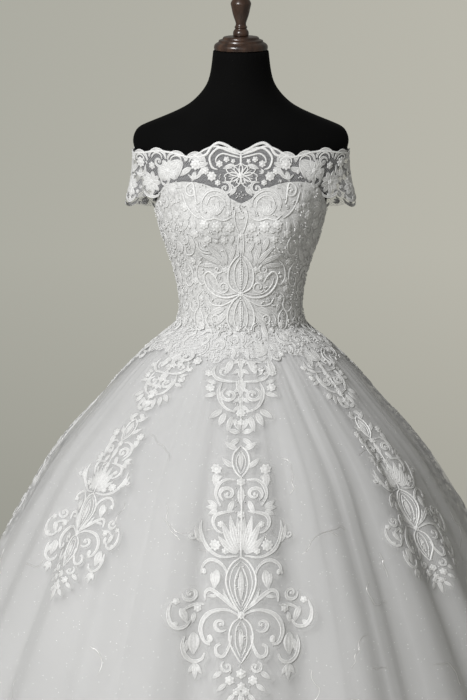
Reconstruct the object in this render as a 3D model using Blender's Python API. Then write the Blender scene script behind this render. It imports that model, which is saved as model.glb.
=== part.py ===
"""Off-the-shoulder wedding gown on a limbless dress form with a turned stand.

Metres, +Z up, the wearer's front towards -Y, the origin under the middle of the stand's foot.
Angles run round the body from the centre front (0) through the +X side (90) to the centre back (180).
"""

import bisect
import math

import bmesh
import bpy
from mathutils import Matrix, Vector

# Heights above the floor
HEM_HEIGHT = 0.012
WAIST_HEIGHT = 1.072
FORM_BOTTOM = 0.800
NECK_TOP = 1.577

# Cloth walls, and the gaps between pieces
SEAM_GAP = 0.0003
FORM_CLEARANCE = 0.0020
BODICE_WALL = 0.0022
LACE_WALL = 0.0012
TULLE_WALL = 0.0010
SATIN_WALL = 0.0012
APPLIQUE_LIFT = 0.0006
APPLIQUE_WALL = 0.0012

# The bare dress form: a general figure, seen from above as half ellipses, front and back
FORM_SECTIONS = (
    # height, half_width, front_depth, back_depth
    (0.800, 0.1680, 0.104, 0.118),
    (0.860, 0.1730, 0.110, 0.122),
    (0.930, 0.1650, 0.110, 0.120),
    (1.000, 0.1380, 0.103, 0.105),
    (1.073, 0.1130, 0.096, 0.090),
    (1.103, 0.1078, 0.093, 0.084),
    (1.140, 0.1114, 0.094, 0.085),
    (1.186, 0.1225, 0.098, 0.090),
    (1.225, 0.1375, 0.103, 0.095),
    (1.265, 0.1493, 0.107, 0.099),
    (1.289, 0.1535, 0.108, 0.101),
    (1.330, 0.1690, 0.103, 0.103),
    (1.365, 0.1850, 0.094, 0.103),
    (1.392, 0.1945, 0.085, 0.101),
    (1.411, 0.2015, 0.079, 0.098),
    (1.423, 0.2005, 0.076, 0.095),
    (1.434, 0.1935, 0.072, 0.091),
    (1.4415, 0.1780, 0.069, 0.087),
    (1.4525, 0.1500, 0.066, 0.081),
    (1.464, 0.1220, 0.063, 0.075),
    (1.475, 0.1000, 0.060, 0.069),
    (1.487, 0.0840, 0.057, 0.064),
    (1.509, 0.0645, 0.053, 0.056),
    (1.532, 0.0555, 0.051, 0.052),
    (1.577, 0.0510, 0.050, 0.051),
)

# The bust of the form, and the cups of the bodice, which stand a little fuller
BUST_HEIGHT = 1.252
BUST_HALF_SPACING = 0.074
BUST_SPREAD = 0.043
BUST_SPREAD_ABOVE = 0.052
BUST_SPREAD_BELOW = 0.037
FORM_BUST = 0.012
CUP_FULLNESS = 0.023

# Edges of the bodice and of the lace above it, on one half of the body
BODICE_TOP = (
    # angle, height
    (0, 1.310), (6, 1.318), (14, 1.334), (25, 1.346), (38, 1.346), (50, 1.340),
    (58, 1.328), (74, 1.302), (90, 1.289), (106, 1.284), (122, 1.284), (150, 1.292), (180, 1.298),
)
NECKLINE = (
    # angle, height
    (0, 1.4024), (14, 1.413), (27.6, 1.392), (38, 1.400), (48, 1.402), (66, 1.396), (90, 1.3925),
    (104, 1.397), (120, 1.402), (134, 1.393), (148, 1.402), (162, 1.392), (180, 1.398),
)
SLEEVE_HEM = (
    # angle, height
    (58, 1.329), (65, 1.319), (74, 1.311), (90, 1.306), (104, 1.291), (114, 1.283), (122, 1.285),
)
SLEEVE_SECTIONS = (
    # height, half_width over the sleeves
    (1.270, 0.2180), (1.306, 0.2100), (1.320, 0.2055), (1.340, 0.2000), (1.360, 0.1978),
    (1.380, 0.1970), (1.392, 0.1972), (1.402, 0.2005), (1.415, 0.2030),
)
SLEEVE_START, SLEEVE_FREE = 58, 82
SLEEVE_WAVES, SLEEVE_WAVE_DEPTH = 18, 0.0022
SLEEVE_FLARE_TOP, SLEEVE_FLARE_LENGTH = 1.36, 0.06
HEM_OVER_BODICE_SPAN = 9

# Vertical seams of the bodice, in degrees, with the number of columns of points up to each
PRINCESS_SEAM, SIDE_SEAM, BACK_SEAM = 27, 88, 140
COLUMN_STEPS = ((27, 6), (58, 5), (88, 5), (122, 6), (140, 3), (180, 6))
BODICE_ROWS = 7
YOKE_ROWS = 3
SLEEVE_ROWS = 3

# The skirt: outer tulle over a plain layer
SKIRT_PROFILE = (
    # height, radius
    (0.012, 0.715), (0.100, 0.686), (0.200, 0.650), (0.300, 0.611), (0.400, 0.569), (0.500, 0.524),
    (0.600, 0.4755), (0.660, 0.4440), (0.701, 0.4209), (0.739, 0.4005), (0.776, 0.3783),
    (0.814, 0.3543), (0.852, 0.3302), (0.889, 0.2988), (0.927, 0.2655), (0.964, 0.2313),
    (1.002, 0.1989), (1.021, 0.1804), (1.039, 0.1582), (1.051, 0.1443), (1.062, 0.1285),
    (1.072, 0.1167),
)
TULLE_HEIGHTS = (1.0717, 1.056, 1.036, 0.998, 0.935, 0.845, 0.735, 0.600, 0.430, 0.230, 0.012)
LINING_HEIGHTS = (1.0717, 1.056, 1.036, 0.998, 0.900, 0.720, 0.400, 0.012)
FOLD_RIDGES = (
    # angle, how far it stands out beside the others
    (0, 0.70), (25.5, 1.30), (43, 0.80), (57, 1.05), (74, 0.85), (90, 1.10), (108, 0.75), (123, 1.15),
    (140, 0.90), (156, 1.20), (172, 0.80), (189, 1.10), (205, 0.85), (221, 1.15), (238, 0.80),
    (254, 1.05), (270, 0.90), (286, 1.10), (301, 0.75), (315, 1.00), (327.5, 0.90), (342, 1.20),
)
POINTS_PER_FOLD = 4
FOLD_DEPTH = 0.024
FOLD_SHARPNESS = 1.3
FOLD_MIDDLE = 0.45
FOLD_GROWTH_TO_HEM = 0.35
FOLD_START = 1.060
FOLD_FULL = 0.560
LINING_COLUMNS = 36
LINING_DROP, LINING_DROP_LENGTH = 0.021, 0.300
WAIST_DEPTH_FRONT, WAIST_DEPTH_BACK = 0.852, 0.800
ROUND_BELOW = 0.230

# The band of lace under the waist seam
WAIST_LACE_DROP = 0.040
WAIST_LACE_SCALLOP = 0.011
WAIST_LACE_SCALLOPS = 12
WAIST_LACE_TOP_ROW = 0.02

# Lace motifs on the tulle, each with its middle angle and its size beside the front one
MOTIFS = (
    # name, angle, long_scale, wide_scale, pairs of gaps
    ("front", 0, 1.0, 1.0, 5),
    ("front_left", -46, 0.74, 0.74, 3),
    ("front_right", 53, 0.71, 0.74, 3),
    ("side_left", -101, 0.73, 0.74, 3),
    ("side_right", 105, 0.72, 0.74, 3),
    ("back_left", -153, 0.74, 0.74, 3),
    ("back_right", 155, 0.73, 0.74, 3),
)
MOTIF_TOP = 0.086
MOTIF_OUTLINE = (
    # distance below the waist seam along the cloth, half_width
    (0.086, 0.058), (0.106, 0.054), (0.203, 0.039), (0.276, 0.018), (0.309, 0.022), (0.339, 0.050),
    (0.389, 0.039), (0.428, 0.062), (0.457, 0.085), (0.487, 0.062), (0.516, 0.074), (0.574, 0.123),
    (0.612, 0.119), (0.641, 0.096), (0.670, 0.052), (0.719, 0.026), (0.742, 0.005),
)
MOTIF_HOLES = (
    # distance below the waist seam, sideways, half_length, half_width, the largest first
    (0.598, 0.070, 0.026, 0.028),
    (0.445, 0.040, 0.022, 0.016),
    (0.530, 0.036, 0.018, 0.016),
    (0.150, 0.024, 0.030, 0.010),
    (0.655, 0.026, 0.022, 0.011),
)
MOTIF_HOLE_CORNERS = 4
GRID_MERGE = 0.001
CLOTH_STEPS = 200

# The zip down the centre back
ZIP_HALF_WIDTH = 0.0025
ZIP_BOTTOM = WAIST_HEIGHT + 0.0005
ZIP_BELOW_EDGE = 0.001
ZIP_ROWS = 12
ZIP_INSET, ZIP_WALL = 0.0002, 0.0020
SLIDER_HEIGHT = 1.3815
SLIDER_SIZE = (0.0064, 0.0024, 0.0100)
PIN_OVER_SLIDER_MIDDLE = 0.002
PULL_PLAY = 0.0002
EAR_WALL, EAR_RADIUS = 0.0008, 0.0017
PIN_RADIUS = 0.0006
PULL_EYE, PULL_BORE = 0.0017, 0.0009
PULL_LENGTH, PULL_HALF_WIDTH, PULL_WALL = 0.0240, 0.0032, 0.0012
PULL_NECK = 0.0018
PULL_SIDE = (
    # share of the length down from the pin, half_width
    (0.30, 0.0016), (0.55, 0.0026), (0.82, PULL_HALF_WIDTH), (0.95, 0.0024),
)
EYE_SIDES, PIN_SIDES = 16, 12

# Turned pieces: radius and height pairs, from the axis round to the axis again
CAP_PROFILE = (
    (0.0000, 1.5773), (0.0495, 1.5773), (0.0505, 1.5810), (0.0500, 1.5865), (0.0455, 1.5900),
    (0.0420, 1.5915), (0.0412, 1.5950), (0.0345, 1.5970), (0.0335, 1.6005), (0.0300, 1.6025),
    (0.0000, 1.6025),
)
FINIAL_PROFILE = (
    (0.0000, 1.6028), (0.0142, 1.6028), (0.0150, 1.6065), (0.0145, 1.6115), (0.0105, 1.6160),
    (0.0122, 1.6190), (0.0095, 1.6220), (0.0092, 1.6270), (0.0150, 1.6400), (0.0178, 1.6560),
    (0.0196, 1.6610), (0.0185, 1.6650), (0.0110, 1.6760), (0.0085, 1.6815), (0.0124, 1.6890),
    (0.0118, 1.6950), (0.0070, 1.6990), (0.0000, 1.7000),
)
POLE_RADIUS = 0.0160
COLLAR_TOP = 0.085
FOOT_PROFILE = (
    (0.0000, 0.0000), (0.2150, 0.0000), (0.2200, 0.0040), (0.2200, 0.0140), (0.2120, 0.0200),
    (0.0700, 0.0290), (0.0400, 0.0400), (0.0300, 0.0600), (0.0280, COLLAR_TOP), (0.0000, COLLAR_TOP),
)
TURNED_STEPS = 18

# Points round the form's torso, and the sections that its own surface has no row of points at
FORM_COLUMNS = 32
FORM_ROWS_LEFT_OUT = (0.930, 1.365, 1.423)

# Finishes: colour, roughness, metallic
BLACK_JERSEY = ("black_jersey", (0.012, 0.012, 0.012), 0.85, 0.0)
DARK_WOOD = ("dark_wood", (0.050, 0.028, 0.020), 0.30, 0.0)
BLACK_METAL = ("black_metal", (0.030, 0.030, 0.032), 0.40, 0.9)
WHITE_SATIN = ("white_satin", (0.82, 0.82, 0.80), 0.45, 0.0)
WHITE_LACE = ("white_lace", (0.84, 0.84, 0.83), 0.60, 0.0)
SHEER_TULLE = ("sheer_tulle", (0.80, 0.80, 0.79), 0.70, 0.0)
ZIP_TAPE = ("zip_tape", (0.80, 0.80, 0.78), 0.55, 0.0)
ZIP_METAL = ("zip_metal", (0.75, 0.75, 0.76), 0.25, 1.0)


def curve_through(rows, at, column=1):
    """The value of a column at a place between the rows, on a smooth curve through them."""
    places = [row[0] for row in rows]
    at = min(max(at, places[0]), places[-1])
    i = min(max(bisect.bisect_right(places, at) - 1, 0), len(rows) - 2)

    def slope(k):
        low, high = max(k - 1, 0), min(k + 1, len(rows) - 1)
        return (rows[high][column] - rows[low][column]) / (places[high] - places[low])

    width = places[i + 1] - places[i]
    t = (at - places[i]) / width
    start, end = rows[i][column], rows[i + 1][column]
    return (
        (2 * t**3 - 3 * t**2 + 1) * start
        + (t**3 - 2 * t**2 + t) * width * slope(i)
        + (3 * t**2 - 2 * t**3) * end
        + (t**3 - t**2) * width * slope(i + 1)
    )


def eased(t):
    """0 to 1, starting and ending level."""
    t = min(max(t, 0.0), 1.0)
    return t * t * (3 - 2 * t)


def folded(angle):
    """The angle on one half of the body, 0 to 180."""
    return abs((angle + 180) % 360 - 180)


def moved_out(point_at, angle, height, offset):
    """A point of a section, moved out level from the section by the offset."""
    here = point_at(angle, height)
    if not offset:
        return here
    along = point_at(angle + 0.2, height) - point_at(angle - 0.2, height)
    return here + Vector((along.y, -along.x, 0.0)).normalized() * offset


def torso_section(angle, height, fullness, half_width=None):
    """A point on the figure: half ellipses with the bust standing out in front."""
    turn = math.radians(angle)
    width = half_width or curve_through(FORM_SECTIONS, height, 1)
    depth = curve_through(FORM_SECTIONS, height, 2 if math.cos(turn) > 0 else 3)
    x, y = width * math.sin(turn), -depth * math.cos(turn)
    if math.cos(turn) > 0:
        spread = BUST_SPREAD_ABOVE if height > BUST_HEIGHT else BUST_SPREAD_BELOW
        sideways = (abs(x) - BUST_HALF_SPACING) / BUST_SPREAD
        y -= fullness * math.exp(-(sideways**2) - ((height - BUST_HEIGHT) / spread) ** 2)
    return Vector((x, y, height))


def form_point(angle, height, offset=0.0):
    return moved_out(lambda a, z: torso_section(a, z, FORM_BUST), angle, height, offset)


def bodice_point(angle, height, offset=0.0):
    """On the inside of the bodice where the offset is 0."""
    whole = offset + FORM_CLEARANCE
    return moved_out(lambda a, z: torso_section(a, z, CUP_FULLNESS), angle, height, whole)


def lace_section(angle, height):
    """The figure in front and behind, and the sleeves standing clear of it at the sides."""
    side = folded(angle)
    side = min(side, 180 - side)
    share = eased((side - SLEEVE_START) / (SLEEVE_FREE - SLEEVE_START))
    snug = curve_through(FORM_SECTIONS, height, 1)
    free = curve_through(SLEEVE_SECTIONS, height) - FORM_CLEARANCE
    flare = eased((SLEEVE_FLARE_TOP - height) / SLEEVE_FLARE_LENGTH)
    wave = SLEEVE_WAVE_DEPTH * flare * math.sin(math.radians(angle) * SLEEVE_WAVES)
    half_width = snug + (free + wave - snug) * share
    return torso_section(angle, height, CUP_FULLNESS, half_width)


def lace_point(angle, height, offset=0.0):
    """On the inside of the lace yoke and sleeves where the offset is 0."""
    return moved_out(lace_section, angle, height, offset + FORM_CLEARANCE)


def columns_between(start, end):
    """The angles of the columns from one seam to another, shared by all pieces above the waist."""
    half, last = [0.0], 0.0
    for stop, steps in COLUMN_STEPS:
        half += [last + (stop - last) * k / steps for k in range(1, steps + 1)]
        last = stop
    whole = sorted({-a for a in half} | set(half))
    return [a for a in whole if start - 1e-6 <= a <= end + 1e-6]


def with_seams(point_at, angles, height, gap=SEAM_GAP):
    """The same columns with the first and last drawn in by half a seam gap."""
    drawn = list(angles)
    for k, sign in ((0, 1), (-1, -1)):
        speed = (point_at(drawn[k] + 0.5, height) - point_at(drawn[k] - 0.5, height)).length
        drawn[k] += sign * gap / 2 / speed
    return drawn


def add_object(name, mesh, finish):
    """Links a finished mesh as one named object with its material."""
    label, colour, roughness, metallic = finish
    material = bpy.data.materials.get(label)
    if material is None:
        material = bpy.data.materials.new(label)
        material.use_nodes = True
        shader = material.node_tree.nodes["Principled BSDF"]
        shader.inputs["Base Color"].default_value = (*colour, 1.0)
        shader.inputs["Roughness"].default_value = roughness
        shader.inputs["Metallic"].default_value = metallic
    mesh.materials.append(material)
    made = bpy.data.objects.new(name, mesh)
    bpy.context.scene.collection.objects.link(made)
    return made


def finish_mesh(name, work, finish, sharp=40):
    """Turns a bmesh into a named object, shaded smooth apart from its sharp edges."""
    bmesh.ops.recalc_face_normals(work, faces=work.faces)
    if work.calc_volume(signed=True) < 0:
        bmesh.ops.reverse_faces(work, faces=work.faces)
    mesh = bpy.data.meshes.new(name)
    work.to_mesh(mesh)
    work.free()
    mesh.shade_smooth()
    mesh.set_sharp_from_angle(angle=math.radians(sharp))
    return add_object(name, mesh, finish)


def cloth_wall(name, inner, outer, finish, closed=False):
    """A wall of cloth between two grids of points, rows of columns, closed round its rim."""
    rows, columns = len(inner), len(inner[0])
    work = bmesh.new()
    sides = [[[work.verts.new(p) for p in row] for row in grid] for grid in (inner, outer)]
    span = columns if closed else columns - 1
    for side in sides:
        for j in range(rows - 1):
            for i in range(span):
                k = (i + 1) % columns
                work.faces.new((side[j][i], side[j][k], side[j + 1][k]))
                work.faces.new((side[j][i], side[j + 1][k], side[j + 1][i]))
    rims = [[(j, i) for i in range(columns)] for j in (0, rows - 1)]
    if not closed:
        rims += [[(j, i) for j in range(rows)] for i in (0, columns - 1)]
    for rim in rims:
        ends = rim + rim[:1] if closed else rim
        for (j, i), (l, k) in zip(ends, ends[1:]):
            work.faces.new((sides[0][j][i], sides[0][l][k], sides[1][l][k], sides[1][j][i]))
    return finish_mesh(name, work, finish)


def wall_above_waist(name, point_at, angles, bottom, top, rows, wall, finish):
    """A panel of bodice or lace between two edges, which are functions of the angle."""
    middle = (bottom(angles[0]) + top(angles[0])) / 2
    drawn = with_seams(point_at, angles, middle)
    grids = []
    for offset in (0.0, wall):
        grid = []
        for j in range(rows + 1):
            heights = [bottom(a) + (top(a) - bottom(a)) * j / rows for a in angles]
            grid.append([point_at(a, z, offset) for a, z in zip(drawn, heights)])
        grids.append(grid)
    return cloth_wall(name, *grids, finish)


def bodice_top(angle):
    return curve_through(BODICE_TOP, folded(angle))


def neckline(angle):
    return curve_through(NECKLINE, folded(angle))


def yoke_bottom(angle):
    return bodice_top(angle) + SEAM_GAP


def sleeve_hem(angle):
    """Free under the arm, and clear of the bodice's edge where the sleeve leaves it."""
    side = folded(angle)
    hem = curve_through(SLEEVE_HEM, side)
    from_end = min(side, 180 - side) - SLEEVE_START
    if from_end < HEM_OVER_BODICE_SPAN:
        return max(hem, bodice_top(angle) + 3 * SEAM_GAP)
    return hem


def zip_edge(point_at, height):
    """The angle at which a back panel ends beside the zip."""
    speed = (point_at(180.5, height) - point_at(179.5, height)).length
    return 180 - ZIP_HALF_WIDTH / speed


def build_bodice():
    """Seven panels: centre front, side fronts, side backs and backs, with the zip between the backs."""
    def waist(_):
        return WAIST_HEIGHT + SEAM_GAP

    edge = zip_edge(bodice_point, 1.2)
    for name, start, end in (
        ("bodice_centre_front", -PRINCESS_SEAM, PRINCESS_SEAM),
        ("bodice_side_front_right", PRINCESS_SEAM, SIDE_SEAM),
        ("bodice_side_front_left", -SIDE_SEAM, -PRINCESS_SEAM),
        ("bodice_side_back_right", SIDE_SEAM, BACK_SEAM),
        ("bodice_side_back_left", -BACK_SEAM, -SIDE_SEAM),
        ("bodice_back_right", BACK_SEAM, 180),
        ("bodice_back_left", -180, -BACK_SEAM),
    ):
        angles = [min(max(a, -edge), edge) for a in columns_between(start, end)]
        wall_above_waist(
            name, bodice_point, angles, waist, bodice_top, BODICE_ROWS, BODICE_WALL, WHITE_SATIN
        )


def build_lace_top():
    """The lace yoke, front and back, and the two short sleeves between them."""
    edge = zip_edge(lace_point, 1.34)
    back = 180 - SLEEVE_START
    for name, start, end, bottom, rows in (
        ("lace_yoke_front", -SLEEVE_START, SLEEVE_START, yoke_bottom, YOKE_ROWS),
        ("sleeve_right", SLEEVE_START, back, sleeve_hem, SLEEVE_ROWS),
        ("sleeve_left", -back, -SLEEVE_START, sleeve_hem, SLEEVE_ROWS),
        ("lace_yoke_back_right", back, 180, yoke_bottom, YOKE_ROWS),
        ("lace_yoke_back_left", -180, -back, yoke_bottom, YOKE_ROWS),
    ):
        angles = [min(max(a, -edge), edge) for a in columns_between(start, end)]
        wall_above_waist(name, lace_point, angles, bottom, neckline, rows, LACE_WALL, WHITE_LACE)


def skirt_depth(height, at_waist):
    """How deep the skirt is for its width: the body's at the waist, round lower down."""
    return 1 - (1 - at_waist) * (1 - eased((WAIST_HEIGHT - height) / ROUND_BELOW))


def fold_ridge(count):
    """The angle and the share of a ridge, counted on round the skirt past a whole turn."""
    turns, k = divmod(count, len(FOLD_RIDGES))
    angle, share = FOLD_RIDGES[k]
    return angle + 360 * turns, share


def fold_angle(place):
    """The angle of a place counted in folds, which are unevenly wide."""
    count = math.floor(place)
    before, after = fold_ridge(count)[0], fold_ridge(count + 1)[0]
    return before + (after - before) * (place - count)


def fold_place(angle):
    """The place in folds of an angle."""
    count = math.floor(angle / 360 * len(FOLD_RIDGES))
    while fold_ridge(count)[0] > angle:
        count -= 1
    while fold_ridge(count + 1)[0] <= angle:
        count += 1
    before, after = fold_ridge(count)[0], fold_ridge(count + 1)[0]
    return count + (angle - before) / (after - before)


def fold_height(place, height):
    """How far a fold stands out at a place: uneven ridges with wide hollows, growing downwards."""
    count = math.floor(place)
    ridge = (0.5 + 0.5 * math.cos(2 * math.pi * place)) ** FOLD_SHARPNESS
    before, after = fold_ridge(count)[1], fold_ridge(count + 1)[1]
    share = before + (after - before) * eased(place - count)
    grown = eased((FOLD_START - height) / (FOLD_START - FOLD_FULL))
    lower = 1 + FOLD_GROWTH_TO_HEM * eased((FOLD_FULL - height) / FOLD_FULL)
    return FOLD_DEPTH * grown * lower * (ridge * share - FOLD_MIDDLE)


def skirt_point(angle, height, out=0.0):
    """A point of the skirt, moved out level from the profile."""
    turn = math.radians(angle)
    radius = curve_through(SKIRT_PROFILE, height) + out
    deep = skirt_depth(height, WAIST_DEPTH_FRONT if math.cos(turn) > 0 else WAIST_DEPTH_BACK)
    return Vector((radius * math.sin(turn), -radius * deep * math.cos(turn), height))


def normal_grid(grid, closed):
    """The outward direction at each point of a grid, level along its top edge."""
    rows, columns = len(grid), len(grid[0])
    found = []
    for j in range(rows):
        line = []
        for i in range(columns):
            before, after = (i - 1) % columns, (i + 1) % columns
            if not closed:
                before, after = max(i - 1, 0), min(i + 1, columns - 1)
            along = grid[j][after] - grid[j][before]
            down = grid[min(j + 1, rows - 1)][i] - grid[max(j - 1, 0)][i]
            out = down.cross(along)
            if j == 0:
                out.z = 0.0
            line.append(out.normalized())
        found.append(line)
    return found


def moved_grid(grid, normals, distance):
    return [[p + n * distance for p, n in zip(*pair)] for pair in zip(grid, normals)]


def build_tulle():
    """The outer layer in one piece, gathered to the waist. Returns its outer points and directions."""
    places = [k / POINTS_PER_FOLD for k in range(len(FOLD_RIDGES) * POINTS_PER_FOLD)]
    outer = [
        [skirt_point(fold_angle(u), z, fold_height(u, z)) for u in places] for z in TULLE_HEIGHTS
    ]
    normals = normal_grid(outer, closed=True)
    cloth_wall("skirt_tulle", moved_grid(outer, normals, -TULLE_WALL), outer, SHEER_TULLE, True)
    return outer, normals


def build_lining():
    """The plain layer that shows through the tulle, a front and a back half joined at the sides."""
    step = 360 / LINING_COLUMNS
    for name, first in (("skirt_lining_front", -90), ("skirt_lining_back", 90)):
        angles = [first + step * k for k in range(LINING_COLUMNS // 2 + 1)]
        grid = []
        for z in LINING_HEIGHTS:
            under = TULLE_WALL + SEAM_GAP
            under += LINING_DROP * min((WAIST_HEIGHT - z) / LINING_DROP_LENGTH, 1.0)
            drawn = with_seams(skirt_point, angles, z)
            grid.append([skirt_point(a, z, -under) for a in drawn])
        normals = normal_grid(grid, closed=False)
        cloth_wall(name, moved_grid(grid, normals, -SATIN_WALL), grid, WHITE_SATIN)


def waist_lace_edge(angle):
    """The scalloped lower edge of the lace below the waist seam."""
    scallop = abs(math.sin(math.radians(angle) * WAIST_LACE_SCALLOPS / 2))
    return WAIST_HEIGHT - WAIST_LACE_DROP - WAIST_LACE_SCALLOP * scallop


def tulle_point(outer, column, row):
    """A point on the facets of the tulle's grid, at a place counted in columns and rows."""
    columns = len(outer[0])
    i, j = math.floor(column + 1e-9), min(math.floor(row + 1e-9), len(outer) - 2)
    x, y = column - i, row - j
    i, k = i % columns, (i + 1) % columns
    start, far = outer[j][i], outer[j + 1][k]
    if x >= y:
        across = outer[j][k]
        return start + (across - start) * x + (far - across) * y
    down = outer[j + 1][i]
    return start + (down - start) * y + (far - down) * x


def row_of(height):
    """The place of a height, counted in rows of the tulle's grid."""
    for j, (high, low) in enumerate(zip(TULLE_HEIGHTS, TULLE_HEIGHTS[1:])):
        if height >= low:
            return j + (high - height) / (high - low)
    return len(TULLE_HEIGHTS) - 1.0


def build_waist_lace(outer, normals):
    """A band of lace round the top of the skirt, made from the tulle's points, moved out."""
    columns = len(outer[0])
    edges = [row_of(waist_lace_edge(fold_angle(i / POINTS_PER_FOLD))) for i in range(columns)]
    whole = range(1, math.floor(min(edges)) + 1)
    lines = [[WAIST_LACE_TOP_ROW] * columns] + [[j] * columns for j in whole] + [edges]
    inside, outside = [], []
    for line in lines:
        base = [tulle_point(outer, i, row) for i, row in enumerate(line)]
        out = [tulle_point(normals, i, row).normalized() for i, row in enumerate(line)]
        if line is lines[0]:
            out = [Vector((n.x, n.y, 0.0)).normalized() for n in out]
        inside.append([p + n * APPLIQUE_LIFT for p, n in zip(base, out)])
        outside.append([p + n * (APPLIQUE_LIFT + APPLIQUE_WALL) for p, n in zip(base, out)])
    cloth_wall("waist_lace", inside, outside, WHITE_LACE, True)


def height_down_cloth():
    """Rows of distance below the waist seam along the cloth, and height."""
    rows, gone, last = [], 0.0, skirt_point(0, WAIST_HEIGHT)
    for k in range(CLOTH_STEPS + 1):
        height = WAIST_HEIGHT + (HEM_HEIGHT - WAIST_HEIGHT) * k / CLOTH_STEPS
        here = skirt_point(0, height)
        gone += (here - last).length
        rows.append((gone, height))
        last = here
    return rows


def motif_loops(long_scale, wide_scale, pairs):
    """The outline of a motif and its gaps, as loops of distance down and distance sideways."""
    def down(distance):
        return MOTIF_TOP + (distance - MOTIF_TOP) * long_scale

    right = [(down(d), w * wide_scale) for d, w in MOTIF_OUTLINE]
    loops = [right + [(d, -w) for d, w in reversed(right)]]
    for distance, sideways, half_length, half_width in MOTIF_HOLES[:pairs]:
        for side in (1, -1):
            middle = down(distance), side * sideways * wide_scale
            turns = [2 * math.pi * k / MOTIF_HOLE_CORNERS for k in range(MOTIF_HOLE_CORNERS)]
            loops.append([
                (
                    middle[0] + half_length * long_scale * math.cos(turn),
                    middle[1] + half_width * wide_scale * math.sin(turn),
                )
                for turn in turns
            ])
    return loops


def flat_plate(loops):
    """A flat plate of that outline with its gaps cut through, as a filled curve."""
    outline = bpy.data.curves.new("motif_outline", "CURVE")
    outline.dimensions = "2D"
    outline.fill_mode = "BOTH"
    outline.extrude = 2.0  # deeper than the slab that it is cut from
    for loop in loops:
        spline = outline.splines.new("POLY")
        spline.points.add(len(loop) - 1)
        for point, (column, row) in zip(spline.points, loop):
            point.co = (column, row, 0.0, 1.0)
        spline.use_cyclic_u = True
    holder = bpy.data.objects.new("motif_outline", outline)
    mesh = bpy.data.meshes.new_from_object(holder)
    bpy.data.objects.remove(holder)
    work = bmesh.new()
    work.from_mesh(mesh)
    bmesh.ops.remove_doubles(work, verts=work.verts, dist=GRID_MERGE)
    bmesh.ops.recalc_face_normals(work, faces=work.faces)
    work.to_mesh(mesh)
    work.free()
    return mesh


def flat_slab(first, last, low, high):
    """The part of the tulle's grid under a motif, laid flat with its facets and given a thickness."""
    inner = [[Vector((i, j, -1.0)) for i in range(first, last + 1)] for j in range(low, high + 1)]
    outer = [[Vector((p.x, p.y, 1.0)) for p in row] for row in inner]
    return cloth_wall("motif_slab", inner, outer, WHITE_LACE)


def build_motif(outer, normals, name, angle, long_scale, wide_scale, pairs):
    """A lace motif on the tulle: cut flat in the grid's own places, then laid on its facets."""
    heights = height_down_cloth()
    loops = []
    for loop in motif_loops(long_scale, wide_scale, pairs):
        flat = []
        for distance, sideways in loop:
            height = curve_through(heights, distance)
            radius = curve_through(SKIRT_PROFILE, height)
            place = fold_place(angle + math.degrees(sideways / radius))
            flat.append((place * POINTS_PER_FOLD, row_of(height)))
        loops.append(flat)
    across, along = zip(*loops[0])
    slab = flat_slab(
        math.floor(min(across)) - 1, math.ceil(max(across)) + 1,
        math.floor(min(along)) - 1, min(math.ceil(max(along)) + 1, len(TULLE_HEIGHTS) - 1),
    )
    plate = bpy.data.objects.new("motif_plate", flat_plate(loops))
    bpy.context.scene.collection.objects.link(plate)
    cut = slab.modifiers.new("outline", "BOOLEAN")
    cut.operation = "INTERSECT"
    cut.object = plate
    bpy.context.view_layer.update()
    shown = slab.evaluated_get(bpy.context.evaluated_depsgraph_get())
    work = bmesh.new()
    work.from_mesh(shown.to_mesh())
    shown.to_mesh_clear()
    bmesh.ops.remove_doubles(work, verts=work.verts, dist=GRID_MERGE)
    for vert in work.verts:
        column, row, side = vert.co
        out = tulle_point(normals, column, row).normalized()
        lift = APPLIQUE_LIFT + (APPLIQUE_WALL if side > 0 else 0.0)
        vert.co = tulle_point(outer, column, row) + out * lift
    bpy.data.objects.remove(slab)
    bpy.data.objects.remove(plate)
    finish_mesh("applique_" + name, work, WHITE_LACE)


def build_zip():
    """The closed chain of the zip, its slider with the pin, and the pull that swings on the pin."""
    edge = neckline(180) - ZIP_BELOW_EDGE
    grids = []
    for offset in (ZIP_INSET, ZIP_INSET + ZIP_WALL):
        grid = []
        for j in range(ZIP_ROWS + 1):
            height = ZIP_BOTTOM + (edge - ZIP_BOTTOM) * j / ZIP_ROWS
            middle = lace_point(180, height, offset)
            half = ZIP_HALF_WIDTH - SEAM_GAP
            grid.append([middle + Vector((x, 0.0, 0.0)) for x in (half, 0.0, -half)])
        grids.append(grid)
    cloth_wall("zip_chain", *grids, ZIP_TAPE)

    width, depth, height = SLIDER_SIZE
    face = max(
        lace_point(180, SLIDER_HEIGHT + k * height / 2, ZIP_INSET + ZIP_WALL).y for k in (-1, 0, 1)
    )
    back = face + SEAM_GAP
    pin = Vector((0.0, back + depth + PULL_EYE + PULL_PLAY, SLIDER_HEIGHT + PIN_OVER_SLIDER_MIDDLE))
    block = box_between((-width / 2, back, SLIDER_HEIGHT - height / 2),
                        (width / 2, back + depth, SLIDER_HEIGHT + height / 2))
    pieces = [block]
    ear_middle = PULL_NECK + SEAM_GAP + EAR_WALL / 2
    for side in (-1, 1):
        middle = Vector((side * ear_middle, pin.y, pin.z))
        pieces.append(rod_along_x(middle, EAR_RADIUS, EAR_WALL, EYE_SIDES))
        pieces.append(box_between(
            (middle.x - EAR_WALL / 2, back + depth - 0.0005, pin.z - EAR_RADIUS),
            (middle.x + EAR_WALL / 2, pin.y, pin.z + EAR_RADIUS),
        ))
    pieces.append(rod_along_x(pin, PIN_RADIUS, 2 * ear_middle, PIN_SIDES))
    join_into("zip_slider", pieces, ZIP_METAL)
    build_pull(pin)


def box_between(low, high):
    work = bmesh.new()
    bmesh.ops.create_cube(work, size=1.0)
    for vert in work.verts:
        vert.co = Vector([low[k] + (vert.co[k] + 0.5) * (high[k] - low[k]) for k in range(3)])
    return work


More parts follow.
